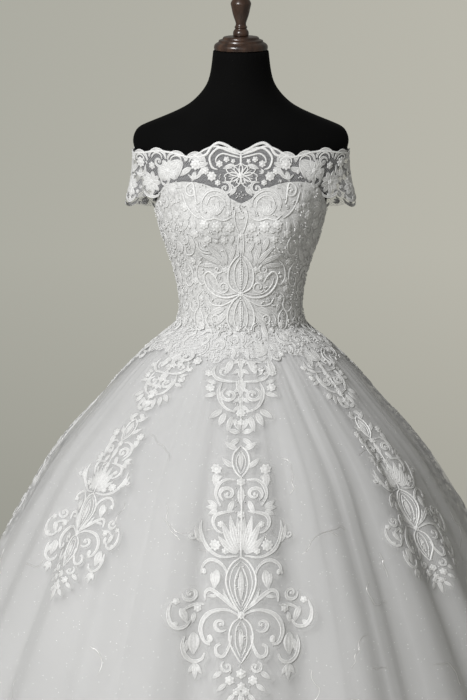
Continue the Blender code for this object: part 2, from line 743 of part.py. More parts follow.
def rod_along_x(middle, radius, length, sides):
    work = bmesh.new()
    bmesh.ops.create_cone(
        work, cap_ends=True, segments=sides, radius1=radius, radius2=radius, depth=length
    )
    for vert in work.verts:
        vert.co = Vector((vert.co.z, vert.co.x, vert.co.y)) + middle
    bmesh.ops.recalc_face_normals(work, faces=work.faces)
    return work


def join_into(name, pieces, finish):
    """One body from several overlapping ones, by Boolean unions that are applied."""
    first = finish_mesh(name, pieces[0], finish, sharp=30)
    helpers = []
    for k, piece in enumerate(pieces[1:]):
        helper = finish_mesh(f"{name}_join_{k}", piece, finish, sharp=30)
        joined = first.modifiers.new("join", "BOOLEAN")
        joined.operation = "UNION"
        joined.object = helper
        helpers.append(helper)
    bpy.context.view_layer.update()
    shown = first.evaluated_get(bpy.context.evaluated_depsgraph_get())
    mesh = bpy.data.meshes.new_from_object(shown)
    first.modifiers.clear()
    first.data = mesh
    for helper in helpers:
        bpy.data.objects.remove(helper)


def build_pull(pin):
    """A flat drop with an eye round the pin, hanging straight down."""
    outline = []
    for k in range(EYE_SIDES // 2 + 1):
        turn = 2 * math.pi * k / EYE_SIDES
        outline.append((PULL_EYE * math.cos(turn), PULL_EYE * math.sin(turn)))
    outline += [(-half, -down * PULL_LENGTH) for down, half in PULL_SIDE]
    outline.append((0.0, -PULL_LENGTH))
    outline += [(half, -down * PULL_LENGTH) for down, half in reversed(PULL_SIDE)]
    plate = bpy.data.curves.new("pull_outline", "CURVE")
    plate.dimensions = "2D"
    plate.fill_mode = "BOTH"
    plate.extrude = PULL_WALL / 2
    spline = plate.splines.new("POLY")
    spline.points.add(len(outline) - 1)
    for point, (x, z) in zip(spline.points, outline):
        point.co = (x, z, 0.0, 1.0)
    spline.use_cyclic_u = True
    holder = bpy.data.objects.new("pull_outline", plate)
    mesh = bpy.data.meshes.new_from_object(holder)
    bpy.data.objects.remove(holder)
    work = bmesh.new()
    work.from_mesh(mesh)
    bmesh.ops.remove_doubles(work, verts=work.verts, dist=1e-7)
    for vert in work.verts:
        vert.co = Vector((vert.co.x, vert.co.z, vert.co.y)) + pin
    # The eye is a short tube across the top of the drop, so that it turns on the pin
    eye = rod_along_x(pin, PULL_EYE, 2 * PULL_NECK, EYE_SIDES)
    join_into("zip_pull", [work, eye], ZIP_METAL)
    pull = bpy.data.objects["zip_pull"]
    pull.data.transform(Matrix.Translation(-pin))
    pull.location = pin
    bore = finish_mesh("pull_bore", rod_along_x(pin, PULL_BORE, 6 * PULL_NECK, PIN_SIDES), ZIP_METAL)
    bore.hide_render = True
    bore.display_type = "WIRE"
    cut = pull.modifiers.new("bore", "BOOLEAN")
    cut.operation = "DIFFERENCE"
    cut.object = bore


def turned(name, profile, finish):
    """A piece turned on a lathe round the Z axis from its profile."""
    work = bmesh.new()
    line = [work.verts.new((r, 0.0, z)) for r, z in profile]
    edges = [work.edges.new(pair) for pair in zip(line, line[1:])]
    bmesh.ops.spin(
        work, geom=line + edges, cent=(0, 0, 0), axis=(0, 0, 1), angle=2 * math.pi,
        steps=TURNED_STEPS, use_duplicate=False,
    )
    bmesh.ops.remove_doubles(work, verts=work.verts, dist=1e-6)
    return finish_mesh(name, work, finish, sharp=35)


def build_form():
    """The smooth torso of the dress form, closed at the hips and at the neck."""
    work = bmesh.new()
    rings = []
    for row in FORM_SECTIONS:
        if row[0] in FORM_ROWS_LEFT_OUT:
            continue
        angles = [360 * k / FORM_COLUMNS for k in range(FORM_COLUMNS)]
        rings.append([work.verts.new(form_point(a, row[0])) for a in angles])
    for below, above in zip(rings, rings[1:]):
        for i in range(FORM_COLUMNS):
            k = (i + 1) % FORM_COLUMNS
            work.faces.new((below[i], below[k], above[k], above[i]))
    work.faces.new(rings[0])
    work.faces.new(rings[-1])
    finish_mesh("form_torso", work, BLACK_JERSEY)


def build_stand():
    """The wooden cap and finial on the neck, and the plain pole and round foot that carry the form."""
    turned("neck_cap", CAP_PROFILE, DARK_WOOD)
    turned("finial", FINIAL_PROFILE, DARK_WOOD)
    low, high = COLLAR_TOP + SEAM_GAP, FORM_BOTTOM - SEAM_GAP
    pole = ((0.0, low), (POLE_RADIUS, low), (POLE_RADIUS, high), (0.0, high))
    turned("stand_pole", pole, BLACK_METAL)
    turned("stand_foot", FOOT_PROFILE, DARK_WOOD)


def main():
    for old in list(bpy.data.objects):
        bpy.data.objects.remove(old)
    build_form()
    build_stand()
    build_bodice()
    build_lace_top()
    outer, normals = build_tulle()
    build_lining()
    build_waist_lace(outer, normals)
    for motif in MOTIFS:
        build_motif(outer, normals, *motif)
    build_zip()


main()
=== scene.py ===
import math
import random

import bmesh
import bpy
import numpy as np
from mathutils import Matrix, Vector
from mathutils.bvhtree import BVHTree


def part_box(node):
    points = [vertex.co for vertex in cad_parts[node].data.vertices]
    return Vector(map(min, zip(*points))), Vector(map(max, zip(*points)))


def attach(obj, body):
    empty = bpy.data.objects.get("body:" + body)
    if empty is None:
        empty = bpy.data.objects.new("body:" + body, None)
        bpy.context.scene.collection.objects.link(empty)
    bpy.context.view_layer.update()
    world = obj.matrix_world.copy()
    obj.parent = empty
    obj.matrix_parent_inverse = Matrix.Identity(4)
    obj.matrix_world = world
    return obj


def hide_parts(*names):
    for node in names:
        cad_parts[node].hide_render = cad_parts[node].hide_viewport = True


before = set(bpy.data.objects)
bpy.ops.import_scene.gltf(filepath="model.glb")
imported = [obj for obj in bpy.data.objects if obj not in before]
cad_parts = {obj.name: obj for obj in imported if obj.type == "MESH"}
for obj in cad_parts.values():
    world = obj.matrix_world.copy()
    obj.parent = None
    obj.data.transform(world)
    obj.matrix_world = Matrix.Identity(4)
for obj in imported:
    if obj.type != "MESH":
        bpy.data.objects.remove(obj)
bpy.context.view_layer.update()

# The camera stands as the photographer did, 7.5 m in front and looking down a little. The room
# is a plain grey-beige that the camera sees with painted light, a little lighter to the right; it is darker low
# down. One soft window of light is on the left.
PHOTO_HEIGHT = 700
METRES_A_PIXEL = 0.00185
CAMERA_DISTANCE = 7.5
CAMERA_PITCH = math.radians(10)
CAMERA_AIM = Vector((-0.0135, 0.0, 1.0206))
SENSOR = 36.0

camera_data = bpy.data.cameras.new("camera")
camera_data.sensor_fit = "VERTICAL"
camera_data.sensor_height = SENSOR
camera_data.lens = SENSOR * CAMERA_DISTANCE / (PHOTO_HEIGHT * METRES_A_PIXEL)
camera_data.clip_end = 60
camera = bpy.data.objects.new("camera", camera_data)
bpy.context.scene.collection.objects.link(camera)
camera.location = CAMERA_AIM + Vector((0, -math.cos(CAMERA_PITCH), math.sin(CAMERA_PITCH))) * CAMERA_DISTANCE
camera.rotation_euler = (math.pi / 2 - CAMERA_PITCH, 0, 0)
bpy.context.scene.camera = camera
bpy.context.scene.view_settings.view_transform = "Standard"

world = bpy.data.worlds.new("room")
bpy.context.scene.world = world
world.use_nodes = True
world_nodes, world_links = world.node_tree.nodes, world.node_tree.links
room_light = world_nodes["Background"]
room_light.inputs["Strength"].default_value = 0.45
room_light.inputs["Color"].default_value = (0.44, 0.435, 0.40, 1)
room_seen = world_nodes.new("ShaderNodeBackground")
room_path = world_nodes.new("ShaderNodeLightPath")
room_mix = world_nodes.new("ShaderNodeMixShader")
room_side = world_nodes.new("ShaderNodeSeparateXYZ")
room_place = world_nodes.new("ShaderNodeTexCoord")
room_spread = world_nodes.new("ShaderNodeMapRange")
room_spread.inputs["From Min"].default_value = -0.060
room_spread.inputs["From Max"].default_value = 0.060
# Painted light on the backdrop the camera sees: darker to the left, lighter to the right.
room_painted_light = world_nodes.new("ShaderNodeMix")
room_painted_light.data_type = "RGBA"
room_painted_light.inputs["A"].default_value = (0.415, 0.412, 0.361, 1)
room_painted_light.inputs["B"].default_value = (0.485, 0.474, 0.412, 1)
world_links.new(room_place.outputs["Generated"], room_side.inputs[0])
world_links.new(room_side.outputs["X"], room_spread.inputs["Value"])
world_links.new(room_spread.outputs["Result"], room_painted_light.inputs["Factor"])
room_fall = world_nodes.new("ShaderNodeMapRange")
room_fall.inputs["From Min"].default_value = -0.215
room_fall.inputs["From Max"].default_value = -0.150
room_fall.inputs["To Min"].default_value = 0.80
world_links.new(room_side.outputs["Z"], room_fall.inputs["Value"])
world_links.new(room_fall.outputs["Result"], room_seen.inputs["Strength"])
world_links.new(room_painted_light.outputs["Result"], room_seen.inputs["Color"])
world_links.new(room_path.outputs["Is Camera Ray"], room_mix.inputs[0])
world_links.new(room_light.outputs[0], room_mix.inputs[1])
world_links.new(room_seen.outputs[0], room_mix.inputs[2])
world_links.new(room_mix.outputs[0], world_nodes["World Output"].inputs["Surface"])


def soft_lamp(name, place, aim, size, power):
    """A square softbox facing the dress."""
    lamp = bpy.data.lights.new(name, "AREA")
    lamp.size = size
    lamp.energy = power
    holder = bpy.data.objects.new(name, lamp)
    bpy.context.scene.collection.objects.link(holder)
    holder.location = place
    holder.rotation_euler = (Vector(aim) - Vector(place)).to_track_quat("-Z", "Y").to_euler()


soft_lamp("window", (-2.3, -3.4, 3.8), (0, 0, 1.3), 1.2, 192)
soft_lamp("front_fill", (0.5, -4.6, 2.4), (0, 0, 0.9), 2.0, 7)

# The floor is a plain pale disc, wide enough for the views from above and below the picture's edge.
bpy.ops.object.select_all(action="DESELECT")
bpy.ops.mesh.primitive_circle_add(vertices=96, radius=2.6, fill_type="NGON", location=(0, 0, -0.0005))
floor = bpy.context.object
floor.name = "floor"
floor_finish = bpy.data.materials.new("pale_floor")
floor_finish.use_nodes = True
floor_finish.node_tree.nodes["Principled BSDF"].inputs["Base Color"].default_value = (0.55, 0.54, 0.50, 1)
floor_finish.node_tree.nodes["Principled BSDF"].inputs["Roughness"].default_value = 0.75
floor.data.materials.append(floor_finish)


# Dress form: a padded torso under a matt black knitted cover. Its loose facets are joined up and
# smoothed, and a fine knit is in the material's bump.
def plain_finish(name, colour, roughness, metallic=0.0, sheen=0.0):
    """A new node material on its main shader, with the shader and the node tree."""
    made = bpy.data.materials.new(name)
    made.use_nodes = True
    shader = made.node_tree.nodes["Principled BSDF"]
    shader.inputs["Base Color"].default_value = (*colour, 1)
    shader.inputs["Roughness"].default_value = roughness
    shader.inputs["Metallic"].default_value = metallic
    shader.inputs["Sheen Weight"].default_value = sheen
    return made, shader, made.node_tree


def bump_from(tree, shader, height, distance, strength=1.0):
    """Feeds a height into the shader's normal."""
    bump = tree.nodes.new("ShaderNodeBump")
    bump.inputs["Distance"].default_value = distance
    bump.inputs["Strength"].default_value = strength
    tree.links.new(height, bump.inputs["Height"])
    tree.links.new(bump.outputs["Normal"], shader.inputs["Normal"])


def object_noise(tree, scale, detail=2.0, roughness=0.5, stretch=(1, 1, 1)):
    """Noise on the piece's own coordinates, stretched along an axis."""
    place = tree.nodes.new("ShaderNodeTexCoord")
    mapping = tree.nodes.new("ShaderNodeMapping")
    mapping.inputs["Scale"].default_value = stretch
    made = tree.nodes.new("ShaderNodeTexNoise")
    made.inputs["Scale"].default_value = scale
    made.inputs["Detail"].default_value = detail
    made.inputs["Roughness"].default_value = roughness
    tree.links.new(place.outputs["Object"], mapping.inputs["Vector"])
    tree.links.new(mapping.outputs["Vector"], made.inputs["Vector"])
    return made.outputs["Fac"]


def two_colours(tree, factor, low, high, start=0.3, end=0.7):
    """Runs from one colour to another as the factor goes from start to end."""
    ramp = tree.nodes.new("ShaderNodeValToRGB")
    ramp.color_ramp.elements[0].position = start
    ramp.color_ramp.elements[0].color = (*low, 1)
    ramp.color_ramp.elements[1].position = end
    ramp.color_ramp.elements[1].color = (*high, 1)
    tree.links.new(factor, ramp.inputs["Fac"])
    return ramp.outputs["Color"]


def ranged(tree, factor, low, high, start=0.0, end=1.0):
    """Runs from one value to another as the factor goes from start to end."""
    node = tree.nodes.new("ShaderNodeMapRange")
    for socket, value in (("From Min", start), ("From Max", end), ("To Min", low), ("To Max", high)):
        node.inputs[socket].default_value = value
    tree.links.new(factor, node.inputs["Value"])
    return node.outputs["Result"]


def combined(tree, operation, first, second):
    """A sum of two values, where the second is a plain number or another node's value."""
    node = tree.nodes.new("ShaderNodeMath")
    node.operation = operation
    tree.links.new(first, node.inputs[0])
    if isinstance(second, float):
        node.inputs[1].default_value = second
    else:
        tree.links.new(second, node.inputs[1])
    return node.outputs[0]


def mixed(tree, blend, factor, first, second):
    """Two colours mixed, where the factor and the second may be plain values."""
    node = tree.nodes.new("ShaderNodeMix")
    node.data_type = "RGBA"
    node.blend_type = blend
    for socket, value in (("Factor", factor), ("A", first), ("B", second)):
        if isinstance(value, (float, tuple)):
            node.inputs[socket].default_value = value
        else:
            tree.links.new(value, node.inputs[socket])
    return node.outputs["Result"]


def add_piece(name, mesh, finish, body="dress_form"):
    """Links a mesh as a piece of the object, with its finish and its body."""
    piece = bpy.data.objects.new(name, mesh)
    bpy.context.scene.collection.objects.link(piece)
    mesh.materials.clear()
    mesh.materials.append(finish)
    mesh.shade_smooth()
    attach(piece, body)
    return piece


def smooth_copy(name, node, levels):
    """A CAD node's facets merged into quads and rounded, its flat ends kept flat."""
    work = bmesh.new()
    work.from_mesh(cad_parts[node].data)
    bmesh.ops.remove_doubles(work, verts=work.verts, dist=1e-5)
    bmesh.ops.dissolve_limit(
        work, angle_limit=math.radians(0.5), verts=work.verts, edges=work.edges
    )
    bmesh.ops.join_triangles(
        work, faces=work.faces, angle_face_threshold=3.1, angle_shape_threshold=3.1
    )
    crease = work.edges.layers.float.new("crease_edge")
    for edge in work.edges:
        if len(edge.link_faces) == 2 and edge.calc_face_angle() > math.radians(50):
            edge[crease] = 0.85
    mesh = bpy.data.meshes.new(name)
    work.to_mesh(mesh)
    work.free()
    holder = bpy.data.objects.new(name, mesh)
    bpy.context.scene.collection.objects.link(holder)
    rounding = holder.modifiers.new("rounding", "SUBSURF")
    rounding.levels = rounding.render_levels = levels
    bpy.context.view_layer.update()
    shown = holder.evaluated_get(bpy.context.evaluated_depsgraph_get())
    rounded = bpy.data.meshes.new_from_object(shown)
    bpy.data.objects.remove(holder)
    return rounded


jersey, jersey_shader, jersey_tree = plain_finish("black_jersey", (0.003, 0.003, 0.003), 0.85, sheen=0.01)
jersey_shader.inputs["Sheen Roughness"].default_value = 0.4
jersey_shader.inputs["Specular IOR Level"].default_value = 0.08
knit = object_noise(jersey_tree, 900, 1.0, 0.5, (1, 1, 0.35))
bump_from(jersey_tree, jersey_shader, knit, 0.0003, 0.6)
jersey_tree.links.new(
    two_colours(jersey_tree, object_noise(jersey_tree, 7, 2.0), (0.0018, 0.0018, 0.0018),
        (0.0034, 0.0034, 0.0034)),
    jersey_shader.inputs["Base Color"],
)
torso = add_piece("torso_cover", smooth_copy("torso_cover", "form_torso", 2), jersey)
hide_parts("form_torso")


# Neck cap and finial: turned hardwood, stained dark walnut and varnished, fixed on the cut neck. The
# stand below is the same wood for the foot, and a black painted steel pole.
def wood_finish(name, dark, light, roughness):
    """Varnished wood with its grain running up."""
    made, shader, tree = plain_finish(name, dark, roughness)
    shader.inputs["Coat Weight"].default_value = 0.35
    shader.inputs["Coat Roughness"].default_value = 0.18
    grain = object_noise(tree, 60, 5.0, 0.6, (1, 1, 0.18))
    tree.links.new(two_colours(tree, grain, dark, light, 0.35, 0.72), shader.inputs["Base Color"])
    bump_from(tree, shader, object_noise(tree, 260, 2.0, 0.5, (1, 1, 0.1)), 0.0002, 0.4)
    return made


walnut = wood_finish("dark_walnut", (0.020, 0.010, 0.007), (0.085, 0.045, 0.028), 0.32)
for part in ("neck_cap", "finial", "stand_foot"):
    turned_piece = add_piece(part + "_turned", smooth_copy(part + "_turned", part, 2), walnut)
    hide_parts(part)
black_paint, paint_shader, paint_tree = plain_finish("black_paint", (0.02, 0.02, 0.021), 0.38, 0.4)
bump_from(paint_tree, paint_shader, object_noise(paint_tree, 500, 2.0), 0.0001, 0.5)
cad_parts["stand_pole"].data.materials.clear()
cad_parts["stand_pole"].data.materials.append(black_paint)


# Skirt: a plain opaque layer, then two layers of sheer tulle gathered to the waist. Each follows the
# CAD layer that it stands for, with its folds rounded and the finer creases listed and laid in.
class Cloth:
    """A surface round the Z axis, held as its radius at each degree from -180 to 180 and each height."""

    def __init__(self, heights, radii):
        self.heights, self.radii = np.asarray(heights), np.asarray(radii)
        turn = np.radians(np.arange(-180, 181))
        wide = np.concatenate((self.radii, self.radii[:, :1]), axis=1)
        x, y = wide * np.sin(turn), -wide * np.cos(turn)
        steps = np.hypot(np.diff(x, axis=1), np.diff(y, axis=1))
        self.arcs = np.concatenate((np.zeros((len(heights), 1)), np.cumsum(steps, axis=1)), axis=1)
        self.arcs -= self.arcs[:, 180:181]

    def radius(self, angles, heights):
        column = np.mod(np.asarray(angles, float) + 180, 360)
        row = np.interp(heights, self.heights, np.arange(len(self.heights)))
        i, j = np.floor(column).astype(int) % 360, np.floor(row).astype(int)
        k, l = (i + 1) % 360, np.minimum(j + 1, len(self.heights) - 1)
        x, y = column - np.floor(column), row - j
        low = self.radii[j, i] * (1 - x) + self.radii[j, k] * x
        high = self.radii[l, i] * (1 - x) + self.radii[l, k] * x
        return low * (1 - y) + high * y

    def points(self, angles, heights):
        turn, radius = np.radians(angles), self.radius(angles, heights)
        return np.stack((radius * np.sin(turn), -radius * np.cos(turn), np.asarray(heights) + 0 * turn), -1)

    def normals(self, angles, heights, reach=0.7, rise=0.004):
        along = self.points(angles + reach, heights) - self.points(angles - reach, heights)
        up = self.points(angles, heights + rise) - self.points(angles, heights - rise)
        up[..., 2] = 2 * rise
        out = np.cross(along, up)
        return out / np.linalg.norm(out, axis=-1, keepdims=True)

    def across_at(self, angles, heights):
        """The distance round from the centre front to places given by their angles."""
        rows = np.round(np.interp(heights, self.heights, np.arange(len(self.heights)))).astype(int)
        return np.array([np.interp(a, np.arange(-180, 181), self.arcs[j]) for a, j in zip(angles, rows)])

    def angles_at(self, across, heights):
        """The angles of places given by their distance round from the centre front."""
        rows = np.interp(heights, self.heights, np.arange(len(self.heights)))
        j = np.minimum(np.floor(rows).astype(int), len(self.heights) - 2)
        share, degrees = rows - j, np.arange(-180, 181)
        found = np.empty(len(across))
        for row in np.unique(j):
            here = j == row
            low = np.interp(across[here], self.arcs[row], degrees)
            high = np.interp(across[here], self.arcs[row + 1], degrees)
            found[here] = low * (1 - share[here]) + high * share[here]
        return found


def faces_of(*nodes):
    """A search tree over the faces of some CAD nodes."""
    points, faces = [], []
    for node in nodes:
        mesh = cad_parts[node].data
        first = len(points)
        points += [v.co.copy() for v in mesh.vertices]
        faces += [[first + i for i in p.vertices] for p in mesh.polygons]
    return BVHTree.FromPolygons(points, faces)


def radii_of(tree, heights):
    """The outer radius of the faces at each height and degree, blank where there is nothing."""
    found = np.full((len(heights), 360), np.nan)
    for i in range(360):
        turn = math.radians(i - 180)
        out = Vector((math.sin(turn), -math.cos(turn), 0))
        for j, z in enumerate(heights):
            hit = tree.ray_cast(out * 1.2 + Vector((0, 0, z)), -out, 1.2)
            if hit[0] is not None:
                found[j, i] = math.hypot(hit[0].x, hit[0].y)
    return found


def filled(grid):
    """Blanks filled from the nearest value above or below, and blank columns from those beside."""
    rows, columns = np.arange(len(grid)), np.arange(grid.shape[1])
    solid = columns[(~np.isnan(grid)).sum(axis=0) > 3]
    for i in solid:
        known = ~np.isnan(grid[:, i])
        grid[:, i] = np.interp(rows, rows[known], grid[known, i])
    for row in grid:
        row[:] = np.interp(columns, solid, row[solid], period=len(columns))
    return grid


def bell(spread):
    """The weights of a Gaussian blur."""
    reach = max(1, math.ceil(3 * spread))
    weights = np.exp(-0.5 * (np.arange(-reach, reach + 1) / spread) ** 2)
    return weights / weights.sum(), reach


def blurred(grid, round_spread, up_spread):
    """Blurs a grid round its columns and up its rows, keeping the slope at its rims."""
    weights, reach = bell(round_spread)
    wide = np.concatenate((grid[:, -reach:], grid, grid[:, :reach]), axis=1)
    grid = np.apply_along_axis(lambda r: np.convolve(r, weights, "valid"), 1, wide)
    weights, reach = bell(up_spread)
    tall = np.pad(grid, ((reach, reach), (0, 0)), "reflect", reflect_type="odd")
    return np.apply_along_axis(lambda c: np.convolve(c, weights, "valid"), 0, tall)


def through_rows(places, rows, at):
    """Rows of values at new places, on smooth curves through the rows given."""
    places, at = np.asarray(places), np.asarray(at)
    slopes = np.gradient(rows, places, axis=0)
    i = np.clip(np.searchsorted(places, at) - 1, 0, len(places) - 2)
    width = (places[i + 1] - places[i])[:, None]
    t = ((at - places[i]) / (places[i + 1] - places[i]))[:, None]
    return (
        (2 * t**3 - 3 * t**2 + 1) * rows[i]
        + (t**3 - 2 * t**2 + t) * width * slopes[i]
        + (3 * t**2 - 2 * t**3) * rows[i + 1]
        + (t**3 - t**2) * width * slopes[i + 1]
    )


RING_APART = 0.006


def ring_heights(node, least):
    """The heights at which a CAD node has a whole ring of points."""
    rings = {}
    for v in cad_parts[node].data.vertices:
        rings.setdefault(round(v.co.z, 4), set()).add((round(v.co.x, 4), round(v.co.y, 4)))
    apart = []
    for z in sorted(z for z, ring in rings.items() if len(ring) >= least):
        if not apart or z - apart[-1] > RING_APART:
            apart.append(z)
    return apart


HEM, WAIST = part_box("skirt_tulle")[0][2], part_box("skirt_tulle")[1][2]
SKIRT_ROWS = np.linspace(HEM, WAIST, 130)

tulle_rings = ring_heights("skirt_tulle", 80)
inside_rings = np.clip(tulle_rings, HEM + 0.0005, WAIST - 0.00005)
tulle_radii = through_rows(inside_rings, filled(radii_of(faces_of("skirt_tulle"), inside_rings)), SKIRT_ROWS)
tulle_radii = blurred(tulle_radii, 1.3, 1.0)
lining_rows = np.clip(np.linspace(HEM, WAIST, 60), HEM + 0.001, WAIST - 0.0003)
lining_radii = filled(radii_of(faces_of("skirt_lining_front", "skirt_lining_back"), lining_rows))
lining_radii = blurred(through_rows(lining_rows, blurred(lining_radii, 3.0, 1.5), SKIRT_ROWS), 1.5, 1.0)

# Creases of the outer tulle: where each lies, how wide and how far out it stands, where it starts
CREASES = (
    # angle, degrees wide, metres out, height it starts at, height where it is full, degrees it leans
    (-61, 2.4, 0.005, 1.02, 0.70, 2), (-52, 1.8, -0.004, 1.00, 0.80, 0), (-38, 2.2, 0.006, 1.03, 0.60, -2),
    (-26, 1.7, -0.005, 1.05, 0.86, 1), (-22, 2.4, 0.006, 1.04, 0.78, 0), (-12.5, 1.8, 0.006, 1.05, 0.83, -1),
    (-8.5, 1.6, -0.004, 1.03, 0.70, 0), (-5, 1.4, 0.003, 1.05, 0.90, 0), (1.6, 1.2, -0.005, 1.06, 0.95, 0),
    (8, 2.2, 0.004, 1.04, 0.66, 1), (14, 1.8, -0.004, 1.02, 0.80, -1), (19, 1.8, 0.005, 1.05, 0.86, 1),
    (28, 1.3, -0.006, 1.06, 0.93, 1), (33, 1.6, 0.005, 1.05, 0.88, -2), (37.5, 1.5, -0.005, 1.03, 0.76, 0),
    (47, 1.6, 0.005, 1.04, 0.80, 1), (53, 1.7, -0.006, 1.02, 0.72, 0), (66, 2.2, 0.006, 1.03, 0.70, -1),
    (82, 2.0, -0.005, 1.04, 0.66, 1), (99, 2.3, 0.006, 1.03, 0.78, 1), (115, 1.8, -0.005, 1.02, 0.70, -2),
    (131, 2.0, 0.005, 1.04, 0.82, 1), (148, 2.1, -0.006, 1.03, 0.72, 0), (163, 1.8, 0.005, 1.04, 0.78, 1),
    (178, 1.5, -0.005, 1.05, 0.84, 0), (-170, 1.7, 0.006, 1.04, 0.80, -1), (-154, 2.2, -0.005, 1.02, 0.66, 1),
    (-137, 1.9, 0.006, 1.03, 0.74, -1), (-121, 2.2, -0.005, 1.04, 0.70, 0), (-106, 1.8, 0.006, 1.03, 0.78, 2),
    (-91, 2.1, -0.005, 1.02, 0.68, 0), (-77, 2.0, 0.006, 1.04, 0.74, -1),
)


def crease_field(rows, share, turn=0.0):
    """What the creases add to the radius at each height and degree: a slow rise, then a sharp edge."""
    degrees = np.arange(-180, 180)[None, :]
    heights = np.asarray(rows)[:, None]
    added = np.zeros((len(rows), 360))
    for angle, wide, out, start, full, lean in CREASES:
        grown = np.clip((start - heights) / (start - full), 0, 1)
        grown = grown * grown * (3 - 2 * grown)
        middle = angle + turn + lean * (start - heights) / (start - HEM)
        away = (degrees - middle + 180) % 360 - 180
        spread = wide * (1 + 0.5 * grown) * np.where(away < 0, 1.9, 0.6)
        added += share * out * grown * np.exp(-((away / spread) ** 2))
    return added


def gathers(rows, count, out, reach, seed):
    """Fine uneven gathers that start at the waist seam and die out down the skirt."""
    dice = random.Random(seed)
    degrees, heights = np.arange(-180, 180)[None, :], np.asarray(rows)[:, None]
    added = np.zeros((len(rows), 360))
    for k in range(count):
        middle = -180 + 360 * (k + dice.uniform(0.2, 0.8)) / count
        length = reach * dice.uniform(0.5, 1.3)
        below = np.clip((WAIST - heights) / length, 0, 1)
        shape = np.sin(np.pi * below ** 0.6) * (1 - below) ** 0.5
        away = (degrees - middle + 180) % 360 - 180
        added += out * dice.uniform(0.4, 1.3) * shape * np.exp(-((away / 1.3) ** 2))
    return added


outer_radii = tulle_radii + crease_field(SKIRT_ROWS, 1.0) + gathers(SKIRT_ROWS, 90, 0.0022, 0.30, 3)
tulle_cloth = Cloth(SKIRT_ROWS, outer_radii)
GAP_AT_WAIST, GAP_GROWTH, GAP_FULL_BELOW = 0.0004, 0.0085, 0.25
second_gap = GAP_AT_WAIST + GAP_GROWTH * np.clip((WAIST - SKIRT_ROWS) / GAP_FULL_BELOW, 0, 1)[:, None]
second_radii = blurred(tulle_radii, 3.0, 2.0) - second_gap + crease_field(SKIRT_ROWS, 0.7, 4.0)
second_radii = np.minimum(second_radii, outer_radii - 0.45 * second_gap)
second_cloth = Cloth(SKIRT_ROWS, second_radii)
folds_under = blurred(tulle_radii, 2.0, 1.0) - blurred(tulle_radii, 12.0, 1.0)
lining_cloth_radii = np.minimum(lining_radii + 0.35 * folds_under, second_radii - 0.5 * second_gap)
lining_cloth = Cloth(SKIRT_ROWS, lining_cloth_radii)


def sheet_mesh(name, cloth, angles, lower, upper, rows, closed, lift=0.0):
    """A sheet of quads on a surface, between two edges given at each angle."""
    grid_angles = np.repeat(angles[None, :], rows + 1, axis=0)
    share = np.linspace(0, 1, rows + 1)[:, None]
    grid_heights = lower[None, :] * (1 - share) + upper[None, :] * share
    points = cloth.points(grid_angles, grid_heights)
    if lift:
        points = points + lift * cloth.normals(grid_angles, grid_heights)
    columns = len(angles)
    faces = []
    for j in range(rows):
        for i in range(columns if closed else columns - 1):
            k = (i + 1) % columns
            faces.append((j * columns + i, j * columns + k, (j + 1) * columns + k, (j + 1) * columns + i))
    mesh = bpy.data.meshes.new(name)
    mesh.from_pydata(points.reshape(-1, 3).tolist(), [], faces)
    mesh.update()
    return mesh


# Glitter: each dot's share of its cell, the share of cells with none, and how bright a dot's painted glint glows
GLITTER_SIZE, GLITTER_LEFT_OUT, GLITTER_PAINTED_GLINT = 0.085, 0.55, 0.15


def tulle_finish(name, colour, alpha, glitter):
    """Sheer net: mostly open, with a soft sheen, and pinhead dots of glitter that glow with a painted glint."""
    made, shader, tree = plain_finish(name, colour, 0.75, sheen=0.35)
    shader.inputs["Alpha"].default_value = alpha
    shader.inputs["Specular IOR Level"].default_value = 0.2
    place = tree.nodes.new("ShaderNodeTexCoord")
    cells = tree.nodes.new("ShaderNodeTexVoronoi")
    cells.inputs["Scale"].default_value = glitter
    chosen = tree.nodes.new("ShaderNodeSeparateColor")
    tree.links.new(place.outputs["Object"], cells.inputs["Vector"])
    tree.links.new(cells.outputs["Color"], chosen.inputs["Color"])
    near = combined(tree, "LESS_THAN", cells.outputs["Distance"], GLITTER_SIZE)
    picked = combined(tree, "GREATER_THAN", chosen.outputs["Red"], GLITTER_LEFT_OUT)
    dots = combined(tree, "MULTIPLY", near, picked)
    cloud = two_colours(tree, object_noise(tree, 5, 3.0), [0.94 * c for c in colour], colour)
    tree.links.new(mixed(tree, "MIX", dots, cloud, (1, 1, 1, 1)), shader.inputs["Base Color"])
    tree.links.new(ranged(tree, dots, alpha, 1.0), shader.inputs["Alpha"])
    # The glitter dots glow of themselves: a painted glint.
    tree.links.new(ranged(tree, dots, 0.0, GLITTER_PAINTED_GLINT), shader.inputs["Emission Strength"])
    shader.inputs["Emission Color"].default_value = (1, 1, 1, 1)
    return made


outer_tulle = tulle_finish("glitter_tulle", (0.85, 0.85, 0.855), 0.42, 165)
second_tulle = tulle_finish("plain_tulle", (0.82, 0.82, 0.825), 0.50, 60)
satin, satin_shader, satin_tree = plain_finish("white_satin", (0.78, 0.78, 0.775), 0.55, sheen=0.2)
bump_from(satin_tree, satin_shader, object_noise(satin_tree, 1400, 1.0, 0.5, (1, 1, 0.3)), 0.00015, 0.3)
satin_tree.links.new(
    two_colours(satin_tree, object_noise(satin_tree, 3, 2.0), (0.74, 0.74, 0.735), (0.80, 0.80, 0.795)),
    satin_shader.inputs["Base Color"],
)

whole_turn = np.arange(-180, 180, 0.5)
level = np.ones(len(whole_turn))
for piece_name, cloth, finish, slot_name, replaced, hem, every, rows in (
    ("skirt_tulle_outer", tulle_cloth, outer_tulle, "sheer_tulle", ("skirt_tulle",), HEM, 1, 84),
    ("skirt_tulle_second", second_cloth, second_tulle, "sheer_tulle", (), HEM + 0.006, 2, 70),
    ("skirt_plain_layer", lining_cloth, satin, "white_satin", ("skirt_lining_front", "skirt_lining_back"),
        HEM + 0.004, 2, 50),
):
    turn, edge = whole_turn[::every], level[::every]
    skirt_mesh = sheet_mesh(piece_name, cloth, turn, hem * edge, (WAIST + 0.0015) * edge, rows, True)
    skirt_piece = add_piece(piece_name, skirt_mesh, finish)
    if replaced:
        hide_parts(*replaced)


